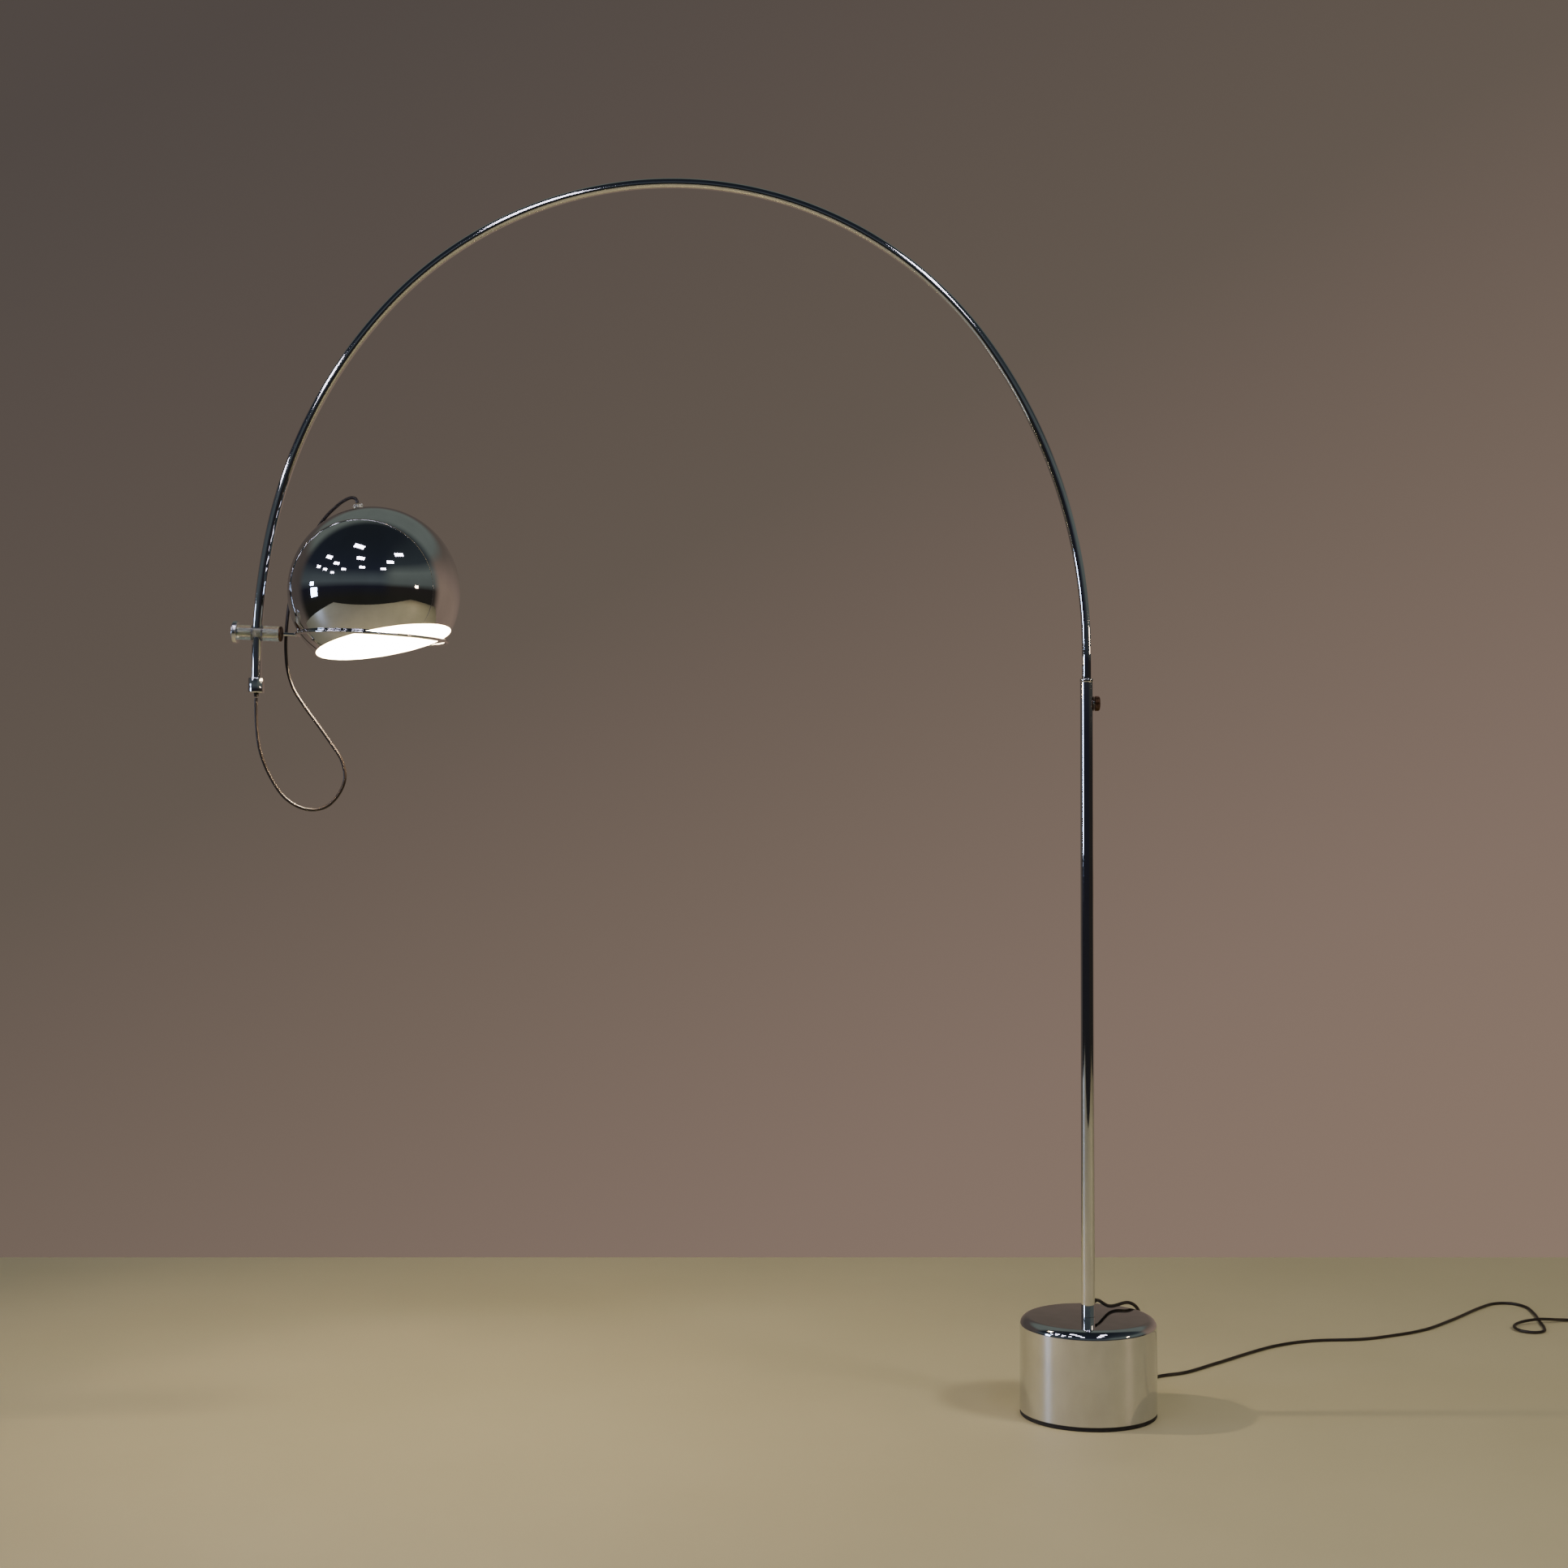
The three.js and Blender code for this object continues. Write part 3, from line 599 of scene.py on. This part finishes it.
# A rounded knob whose rim is cut into shallow ribs, over a neck that hides its screw.
def ribbedKnob():
    k = lock["radius"]
    outline = [(0, 17.9), (3.3, 17.9), (3.3, 12.6), (3.6, 12.3), *arcOf(k - 1.6, 13.9, 1.6, -90, 0, 6)]
    outline += [*arcOf(k - 3.2, 17.4, 3.2, 0, 70, 8), (6.5, 20.9), (6.2, 20.75), (0, 20.75)]
    work = turned(outline, 4 * lock["teeth"], ring=False)
    for corner in work.verts:
        reach = corner.co.xy.length
        rib = round(math.atan2(corner.co.y, corner.co.x) / math.tau * 4 * lock["teeth"]) % 4
        if reach > (k - 0.7) * mm and rib < 2:
            corner.co.xy *= 1 - lock["knurl"] * mm / reach
    return work


# The arch, in millimetres: its bends are pairs of a radius and the degrees it turns through.
arch = {"radius": 8, "wall": 1.2, "legBottom": 850, "legTop": 1225, "tail": 47, "sides": 48,
        "ringEvery": 14, "bends": [(864, 35), (629, 102.3), (766, 29.3), (1000, 12.9)]}
cap = {"radius": 13, "depth": 11, "length": 24.5}


def addArch():
    work = bmesh.new()
    place = Vector((0, 0, arch["legBottom"] * mm))
    bmesh.ops.create_circle(work, segments=arch["sides"], radius=arch["radius"] * mm,
                            matrix=Matrix.Translation(place))
    rim = work.verts[:] + work.edges[:]
    heading = math.pi / 2

    def runOn(distance):
        nonlocal rim, place
        step = Vector((math.cos(heading), 0, math.sin(heading))) * distance * mm
        edges = [g for g in rim if isinstance(g, bmesh.types.BMEdge)]
        grown = bmesh.ops.extrude_edge_only(work, edges=edges)["geom"]
        fresh = {g for g in grown if isinstance(g, bmesh.types.BMVert)}
        bmesh.ops.translate(work, verts=list(fresh), vec=step)
        lines = [g for g in grown if isinstance(g, bmesh.types.BMEdge)]
        rim = list(fresh) + [line for line in lines if set(line.verts) <= fresh]
        place = place + step

    runOn(arch["legTop"] - arch["legBottom"])
    for radius, degrees in arch["bends"]:
        turn = math.radians(degrees)
        centre = place + Vector((-math.sin(heading), 0, math.cos(heading))) * radius * mm
        rim = bmesh.ops.spin(work, geom=rim, cent=centre, axis=(0, -1, 0), angle=turn,
                             steps=round(radius * turn / arch["ringEvery"]),
                             use_duplicate=False)["geom_last"]
        heading += turn
        place = centre + Vector((math.sin(heading), 0, -math.cos(heading))) * radius * mm
    runOn(arch["tail"] - 1)
    runOn(1)  # a short last ring keeps the shading straight right down to the cut end
    tube = addPiece("archTube", work, tubeChrome, upright, "arch", ["arch_tube"])
    wall = tube.modifiers.new("wall", "SOLIDIFY")
    wall.thickness = arch["wall"] * mm

    # the end cap, in a frame at the tube's end with +Z back up the tube
    tail = Matrix.Translation(place) @ Matrix.Rotation(1.5 * math.pi - heading, 4, "Y")
    r, top, bottom = cap["radius"], cap["depth"], cap["depth"] - cap["length"]
    outline = [(4.4, bottom + 0.5), (4.9, bottom), *arcOf(r - 2.6, bottom + 2.6, 2.6, -90, 0, 8)]
    outline += [(r, top - 1.2), (r - 0.35, top - 0.35), (r - 1.2, top), (8.7, top), (8.3, top - 0.4)]
    outline += [(8.3, -0.3), (6, -0.3), (6, bottom + 5), (4.4, bottom + 4)]
    shell = addPiece("archEndCap", turned(outline, 80), chrome, tail, "arch", ["arch_end_cap"])
    cutter = rod(2.3, 5, 20, 32)
    screwPlace = tail @ Matrix.Translation((0, 0, 5 * mm)) @ turnTo(-90, "X")
    bmesh.ops.transform(cutter, matrix=screwPlace, verts=cutter.verts)
    cutAway(shell, cutter)
    shell.data.set_sharp_from_angle(angle=math.radians(35))
    outline = [(0, 8.4), (2, 8.4), (2, 12.4), (1.7, 12.7), (1.1, 12.7), (1.1, 11.4), (0, 11.2)]
    screw = turned(outline, 36, ring=False)
    addPiece("endCapScrew", screw, zinc, screwPlace, "arch", ["end_cap_screw"])
    outline = [(0, bottom - 6), (2.9, bottom - 6), (3.4, bottom - 5.4), (3.6, bottom - 3)]
    outline += [(4, bottom - 0.6), (4.1, bottom + 3.6), (0, bottom + 3.6)]
    addPiece("endCapGrommet", turned(outline, 36, ring=False), rubber, tail, "arch",
             ["end_cap_grommet"])


# The clamp and the ring, in the clamp's own frame: +X to the ring, +Z up the tube.
clamp = {"radius": 12.25, "left": -31, "right": 36, "liner": 9.8, "linerBore": 8.8, "linerHalf": 5.5,
         "core": 4.6, "knob": 18, "knobWidth": 7.6}
ring = {"wire": 2.75, "radius": 120, "reach": 186}
along = Vector(hinges["ring_roll"]["axis"]).normalized()
upTube = Vector(hinges["clamp_swivel"]["axis"]).normalized()
clampFrame = Matrix((along, upTube.cross(along), upTube)).transposed().to_4x4()
clampFrame.translation = hinges["clamp_swivel"]["pos_m"]


def addClamp():
    across = clampFrame @ turnTo(90, "Y")
    r, left, right, liner, core = [clamp[k] for k in ("radius", "left", "right", "liner", "core")]
    bore, half = clamp["linerBore"], clamp["linerHalf"]
    outline = [(bore, -half), (liner - 0.4, -half), (liner, 0.4 - half)]
    outline += [(liner, half - 0.4), (liner - 0.4, half), (bore, half)]
    addPiece("clampLiner", turned(outline), nylon, clampFrame, "liner", ["clamp_liner"])
    block = addPiece("clampBlock", rod(r, left, right, 96), acrylic, across, "clamp",
                     ["clamp_body"], 0.9)
    tubeHole = rod(liner + 0.3, -20, 20, 64)
    coreHole = rod(core + 0.3, left - 5, right + 5)
    for place, cutter in ((clampFrame, tubeHole), (across, coreHole)):
        bmesh.ops.transform(cutter, matrix=place, verts=cutter.verts)
        cutAway(block, cutter)
    inside = liner + 0.9
    addPiece("knobCore", sleeve(3.3, core, left + 0.3, -inside), nylon, across, "clamp",
             ["knob_core"], 0.4)
    addPiece("stemCore", sleeve(ring["wire"] + 0.3, core, inside, right - 0.3), nylon, across, "clamp",
             ["stem_core"], 0.4)
    outline = [(3.05, right + 0.3), (r - 0.3, right + 0.3), *arcOf(r - 0.9, right + 1.2, 0.9, -45, 0, 3)]
    outline += [*arcOf(r - 1.4, right + 2.2, 1.4, 0, 90, 6), (3.05, right + 3.6)]
    addPiece("clampCollar", turned(outline), wallBrownChrome, across, "ring", ["clamp_collar"])

    face = left - 0.3
    back = face - clamp["knobWidth"]
    k = clamp["knob"]
    outline = [(0, back + 0.5), (k - 6, back + 0.5), (k - 5.2, back), (k - 1.6, back)]
    outline += [*arcOf(k - 1.6, back + 1.6, 1.6, -75, 0, 6), *arcOf(k - 1.4, face - 1.4, 1.4, 0, 90, 6)]
    outline += [(7.5, face), (7.5, face + 0.25), (3.3, face + 0.25), (3.3, back + 3), (0, back + 3)]
    addPiece("clampKnob", turned(outline, 96, ring=False), satinChrome, across, "clamp_tightener",
             ["clamp_knob"])
    outline = [(0, back + 3.3)]
    for thread in range(18):
        start = back + 3.6 + thread * 1.25
        outline += [(2.6, start), (3, start + 0.45), (3, start + 0.7), (2.6, start + 1.15)]
    outline += [(0, -inside - 0.6)]
    addPiece("clampScrew", turned(outline, 32, ring=False), zinc, across, "clamp_tightener",
             ["clamp_screw"])

    wire, radius, reach = ring["wire"], ring["radius"], ring["reach"]
    weld = reach - radius - wire
    outline = [(0, inside + 1), (wire, inside + 1.4), (wire, weld - 2.4), (wire + 0.25, weld - 1.4)]
    outline += [(wire + 0.9, weld - 0.2), (wire + 0.9, weld + 0.5), (0, weld + 1)]
    addPiece("ringStem", turned(outline, 40, ring=False), chrome, across, "ring", ["ring_stem"])
    work = bmesh.new()
    section = Matrix.Translation((radius * mm, 0, 0)) @ turnTo(90, "X")
    bmesh.ops.create_circle(work, segments=24, radius=wire * mm, matrix=section)
    bmesh.ops.spin(work, geom=work.verts[:] + work.edges[:], cent=(0, 0, 0), axis=(0, 0, 1),
                   angle=2 * math.pi, steps=200, use_merge=True)
    ringPlace = clampFrame @ Matrix.Translation((reach * mm, 0, 0))
    addPiece("holderRing", work, chrome, ringPlace, "ring", ["holder_ring"])


# The shade, in its own frame: origin at the ball's centre, +Z to the gland.
shade = {"radius": 138, "wall": 1.2, "opening": -84, "hole": 5.4, "nod": -6, "lean": -14.3}
gland = {"radius": 8, "bore": 2.9, "bottom": 143.5, "top": 149.5}
nipple = {"radius": 5, "root": 4.65, "bore": 3.2, "bottom": 112, "length": 31}
holder = {"radius": 21.5, "inside": 19.5, "bore": 16.5, "bottom": 62, "seam": 100, "top": 128}
bulbShape = {"radius": 30, "centre": 24, "neck": 12.8, "end": 62.9}
shadeFrame = clampFrame @ turnTo(shade["nod"], "X") @ turnTo(shade["lean"], "Y")
shadeFrame.translation = hinges["shade_tilt"]["pos_m"]


def addShade():
    r = shade["radius"]
    low = math.degrees(math.asin(shade["opening"] / r))
    high = math.degrees(math.acos(shade["hole"] / r))
    brim = low + 0.3  # a narrow first ring keeps the rim crisp
    outline = arcOf(0, 0, r, low, brim, 1) + arcOf(0, 0, r, brim, high, 72)[1:]
    ball = turned(outline, 160, ring=False)
    shell = addPiece("ballShade", ball, ballChrome, shadeFrame, "shade", ["shade_shell"])
    shell.data.materials.append(glowingEnamel)
    wall = shell.modifiers.new("wall", "SOLIDIFY")
    wall.thickness = shade["wall"] * mm
    wall.material_offset = 1
    wall.use_quality_normals = True

    wide, bore, low, top = [gland[k] for k in ("radius", "bore", "bottom", "top")]
    outline = [(5.3, r + 0.3), (wide - 0.6, r + 0.3), (wide, r + 0.9), (wide, top - 3.1)]
    outline += arcOf(wide - 2.6, top - 2.9, 2.6, 0, 80, 8)
    outline += [(bore + 0.4, top), (bore, top - 0.4), (bore, low), (5.3, low)]
    addPiece("cordGland", turned(outline), acrylic, shadeFrame, "shade", ["cord_gland"])
    wide, root, bore, low, length = [nipple[k] for k in ("radius", "root", "bore", "bottom", "length")]
    outline = [(bore, low)]
    for thread in range(length):
        start = low + thread
        outline += [(root, start), (wide, start + 0.4), (wide, start + 0.6)]
    outline += [(root, low + length), (bore, low + length)]
    addPiece("threadedNipple", turned(outline, 48), brass, shadeFrame, "shade",
             ["threaded_nipple"])

    # the lamp holder: a domed cap screwed on a ribbed skirt
    wide, inside, bore, low, seam, top = [holder[k] for k in
                                          ("radius", "inside", "bore", "bottom", "seam", "top")]
    outline = [(inside, seam), (wide - 0.3, seam), (wide, seam + 0.3), (wide, seam + 10)]
    outline += arcOf(wide - 8, top - 9, 8, 0, 80, 10)
    outline += [(5.3, top), (5.3, top - 2.4), (12.8, top - 3), (inside, seam + 11.5)]
    addPiece("holderCap", turned(outline), blackPlastic, shadeFrame, "shade",
             ["lamp_holder_cap"])
    outline = [(bore, low), (wide - 0.6, low), (wide, low + 0.6)]
    for rib in range(9):
        start = low + 4 + rib * 3.4
        outline += [(wide, start), (wide - 0.6, start + 0.5), (wide - 0.6, start + 1.3), (wide, start + 1.8)]
    outline += [(wide, seam - 0.3), (bore, seam - 0.3)]
    addPiece("holderSkirt", turned(outline), blackPlastic, shadeFrame, "shade",
             ["lamp_holder_skirt"])

    # the bulb: a screw cap, and a ball of glass that draws in to its neck
    outline = [(13.2, 63)]
    for thread in range(6):
        start = 64 + thread * 3.6
        outline += [(12.5, start), (12.5, start + 0.6), (13.3, start + 1.7), (13.3, start + 2.2)]
        outline += [(12.5, start + 3.3)]
    outline += [(11, 86), (5, 88), (0, 88.5), (0, 63)]
    addPiece("bulbCap", turned(outline, 64, ring=False), zinc, shadeFrame, "shade",
             ["bulb_cap"])
    neck, end = bulbShape["neck"], bulbShape["end"]
    outline = arcOf(0, bulbShape["centre"], bulbShape["radius"], -90, 34, 30)
    outline += arcOf(40.3, 51.2, 18.6, 214, 185, 6) + [(neck, 57), (neck, end), (0, end)]
    return addPiece("bulbGlass", turned(outline, 96, ring=False), opal, shadeFrame, "shade",
                    ["bulb_glass"])


# The plug's place is in metres, and its sizes and the tie's in millimetres.
plug = {"place": (1.110, 0.742, 0), "middle": 6.95, "width": 35.2, "depth": 26, "height": 13.7, "pins": 9.3}
tie = {"top": 18.5, "width": 6, "wall": 0.6, "corner": 3}


def addPlug():
    place = Matrix.Translation(plug["place"])
    half, deep = plug["width"] / 2, plug["depth"]
    corners = [(-half, deep), (-half, 14), (-6.4, 0), (6.4, 0), (half, 14), (half, deep)]
    work = bmesh.new()
    work.faces.new([work.verts.new((x * mm, y * mm, 0.1 * mm)) for x, y in corners])
    grown = bmesh.ops.extrude_face_region(work, geom=work.faces[:])["geom"]
    fresh = [g for g in grown if isinstance(g, bmesh.types.BMVert)]
    bmesh.ops.translate(work, verts=fresh, vec=(0, 0, plug["height"] * mm))
    body = addPiece("plugBody", work, blackPlastic, place, "base", ["plug_body"], 2.4)
    lying = place @ Matrix.Translation((0, 0, plug["middle"] * mm)) @ turnTo(-90, "X")
    outline = [(0, -19.4)]
    for rib in range(6):
        start = -19.4 + 3 * rib
        wide = 3.2 + 0.22 * rib
        outline += [(wide, start), (wide, start + 1.5)]
        outline += [(wide - 0.5, start + 1.8), (wide - 0.5, start + 2.7)]
    outline += [(4.6, -1.2), (4.6, 0.4), (0, 0.4)]
    relief = addPiece("plugRelief", turned(outline, 40, ring=False), blackPlastic, lying, "base",
                      ["plug_relief"])
    pieces = [body, relief]
    for side, node in ((-1, "plug_pin_left"), (1, "plug_pin_right")):
        spot = lying @ Matrix.Translation((side * plug["pins"] * mm, 0, 0))
        pin = turned([(0, 25), (2, 25), (2, 44), *arcOf(1, 44, 1, 0, 90, 5), (0, 45)], 32, ring=False)
        pieces.append(addPiece(f"plugPin{node[9:].title()}", pin, brass, spot, "base", [node]))
    return pieces


def addTie():
    half, top, wide = mainsCord["diameter"] / mm + 1.3, tie["top"], tie["width"]
    work = bmesh.new()
    corners = [work.verts.new((x * mm, -wide / 2 * mm, z * mm)) for x, z in
               ((-half, 0.05), (half, 0.05), (half, top), (-half, top))]
    loop = [work.edges.new(pair) for pair in zip(corners, corners[1:] + corners[:1])]
    grown = bmesh.ops.extrude_edge_only(work, edges=loop)["geom"]
    fresh = [g for g in grown if isinstance(g, bmesh.types.BMVert)]
    bmesh.ops.translate(work, verts=fresh, vec=(0, wide * mm, 0))
    place = Matrix.Translation((coil["centre"][0] - coil["radius"], coil["centre"][1], 0))
    band = addPiece("coilTie", work, blackPlastic, place, "base", ["coil_tie"])
    corner = band.modifiers.new("corners", "BEVEL")
    corner.width = tie["corner"] * mm
    corner.segments = 6
    wall = band.modifiers.new("wall", "SOLIDIFY")
    wall.thickness = tie["wall"] * mm
    return band


addBase()
addPost()
addArch()
addClamp()
bulb = addShade()
onCord = addPlug() + [addTie()]
print("pieces made")

# CAD nodes whose shape stays, nearly all of them inside the others.
kept = {
    iron: ["base_ballast"],
    felt: ["felt_pad"],
    zinc: ["bottom_plate", "stud_spacer", "post_stud", "stud_washer", "stud_nut", "post_foot_plug",
           "lock_screw", "shade_nut"],
    nylon: ["post_bush", "lock_pad", "leg_guide"],
    brass: ["clamp_pad", "holder_thread"],
    porcelain: ["contact_block"],
    sheath: ["post_lead", "arch_lead", "holder_lead"],
}
for material, nodes in kept.items():
    for node in nodes:
        finishNode(node, material)


# The floor and the lights, in metres and watts.
floor = {"light": "B3AC88", "dark": "A59F7B", "low": (-4.6, -3.3), "high": (4.6, 1.25)}
lights = {
    "keyRight": {"place": (2.6, -2.0, 3.3), "size": (0.9, 0.6), "colour": "FFF3E2", "power": 100,
                 "seen": False},
    "behind": {"place": (0.6, 3.6, 3.2), "size": (1.2, 0.5), "colour": "FFF2E4", "power": 22,
               "seen": False},
    "windowLeft": {"place": (-6.2, -1.35, 1.2), "size": (1.0, 0.8), "colour": "C4D6FF", "power": 60},
    "windowHigh": {"place": (-6.2, -1.0, 1.95), "size": (0.55, 0.3), "colour": "C4D6FF", "power": 16},
    "warmSide": {"place": (4.6, -2.4, 1.75), "size": (0.5, 0.3), "colour": "FFD9B8", "power": 16},
}
ceiling = {"columns": (-7.4, -4.7, -1.8, 1.2), "rows": (-1.9, -3.5, -5.6), "height": 4.2,
           "size": (0.75, 0.3), "colour": "F1E8FF", "power": 14}
bulbLight = {"power": 45, "colour": "FFE6C4", "radius": 0.03, "place": (0, 0, -0.012)}
aim = Vector((-0.6, 0, 0.9))  # the lights turn to the middle of the lamp


def addFloor():
    work = bmesh.new()
    bmesh.ops.create_grid(work, x_segments=1, y_segments=1, size=0.5)
    low, high = floor["low"], floor["high"]
    bmesh.ops.scale(work, verts=work.verts, vec=(high[0] - low[0], high[1] - low[1], 1))
    bmesh.ops.translate(work, verts=work.verts, vec=((low[0] + high[0]) / 2, (low[1] + high[1]) / 2, 0))
    mesh = bpy.data.meshes.new("floor")
    work.to_mesh(mesh)
    work.free()
    ground = bpy.data.objects.new("floor", mesh)
    bpy.context.collection.objects.link(ground)
    material, tree, shader = startMaterial("paintedFloor", floor["light"], Roughness=0.55)
    cloud = noiseOf(tree, 500, 4)
    feed(shader, "Base Color", tinted(tree, cloud, floor["light"], floor["dark"]))
    mesh.materials.append(material)


# `seen` says whether the chrome shows the light's own shape.
def addLight(name, place, size, colour, power, seen=True):
    data = bpy.data.lights.new(name, "AREA")
    data.shape = "RECTANGLE"
    data.size, data.size_y = size
    data.energy = power
    data.color = linear(colour)[:3]
    lamp = bpy.data.objects.new(name, data)
    lamp.location = place
    lamp.rotation_euler = (aim - lamp.location).to_track_quat("-Z", "Y").to_euler()
    lamp.visible_glossy = seen
    bpy.context.collection.objects.link(lamp)


def addLights():
    for name, light in lights.items():
        addLight(name, **light)
    for i, x in enumerate(ceiling["columns"]):
        for j, y in enumerate(ceiling["rows"]):
            addLight(f"ceiling{i}{j}", (x, y, ceiling["height"]), ceiling["size"], ceiling["colour"],
                     ceiling["power"])
    glow = bpy.data.lights.new("bulbGlow", "POINT")
    glow.energy = bulbLight["power"]
    glow.color = linear(bulbLight["colour"])[:3]
    glow.shadow_soft_size = bulbLight["radius"]
    lamp = bpy.data.objects.new("bulbGlow", glow)
    lamp.location = shadeFrame @ Vector(bulbLight["place"])
    bpy.context.collection.objects.link(lamp)
    lamp.parent = bulb


# A brown wall with a pale ceiling is the backdrop from every side. The chrome also sees a dim hall in front
# of the lamp, with a pale wall on its right.
room = {
    "wall": [(0, "544C48"), (0.34, "665B52"), (0.7, "867367"), (0.9, "907B6C")],
    "hall": [(0, "262521"), (0.2, "22222C"), (0.3, "50575A"), (0.38, "495054"), (0.52, "262A35"),
             (1, "22262B")],
    "rightSide": [(0, "2A2823"), (0.19, "2B2725"), (0.27, "5A605C"), (0.45, "656C67"), (0.6, "363C40"),
                  (1, "22262B")],
    "overhead": "6A716B",
    "heights": (-0.2, 1),  # the two hall ramps run from a little below level to straight up
    "overheadFrom": (0.42, 0.62),  # the last three fade a zone in: by height, to the right and to the back
    "rightFrom": (0.3, 0.6),
    "wallFrom": (0.08, 0.36),
}


def rampOf(tree, value, stops):
    ramp = addNode(tree, "ShaderNodeValToRGB", Fac=value)
    marks = ramp.color_ramp.elements
    for mark, (place, colour) in zip(marks, (stops[0], stops[-1])):
        mark.position, mark.color = place, linear(colour)
    for place, colour in stops[1:-1]:
        marks.new(place).color = linear(colour)
    return ramp.outputs["Color"]


# A smooth change from 0 to 1 as the value goes from low to high.
def rising(tree, value, low, high):
    smooth = {"interpolation_type": "SMOOTHSTEP"}
    return addNode(tree, "ShaderNodeMapRange", smooth, Value=value, From_Min=low, From_Max=high).outputs[0]


def blended(tree, share, first, second):
    return addNode(tree, "ShaderNodeMix", {"data_type": "RGBA"}, _0=share, _6=first, _7=second).outputs[2]


def addSurroundings():
    world = bpy.data.worlds.new("room")
    bpy.context.scene.world = world
    world.use_nodes = True
    tree = world.node_tree
    direction = addNode(tree, "ShaderNodeTexCoord").outputs["Generated"]
    x, y, z = addNode(tree, "ShaderNodeSeparateXYZ", Vector=direction).outputs
    # the wall is lit from the lower right, so its ramp runs along 0.6 x - 1.1 z
    scaleAndAdd = {"operation": "MULTIPLY_ADD"}
    sideways = addNode(tree, "ShaderNodeMath", scaleAndAdd, _0=x, _1=0.6, _2=0.5).outputs[0]
    across = addNode(tree, "ShaderNodeMath", scaleAndAdd, _0=z, _1=-1.1, _2=sideways).outputs[0]
    wall = rampOf(tree, across, room["wall"])
    wall = blended(tree, rising(tree, z, *room["overheadFrom"]), wall, linear(room["overhead"]))
    height = spread(tree, z, 0, 1, *room["heights"])
    hall = rampOf(tree, height, room["hall"])
    hall = blended(tree, rising(tree, x, *room["rightFrom"]), hall, rampOf(tree, height, room["rightSide"]))
    reflected = blended(tree, rising(tree, y, *room["wallFrom"]), hall, wall)
    seen = addNode(tree, "ShaderNodeLightPath").outputs["Is Camera Ray"]
    lit = blended(tree, seen, reflected, wall)  # the backdrop is the plain wall from every side
    tree.links.new(lit, tree.nodes["Background"].inputs["Color"])


addFloor()
addLights()
addSurroundings()
print("studio made")
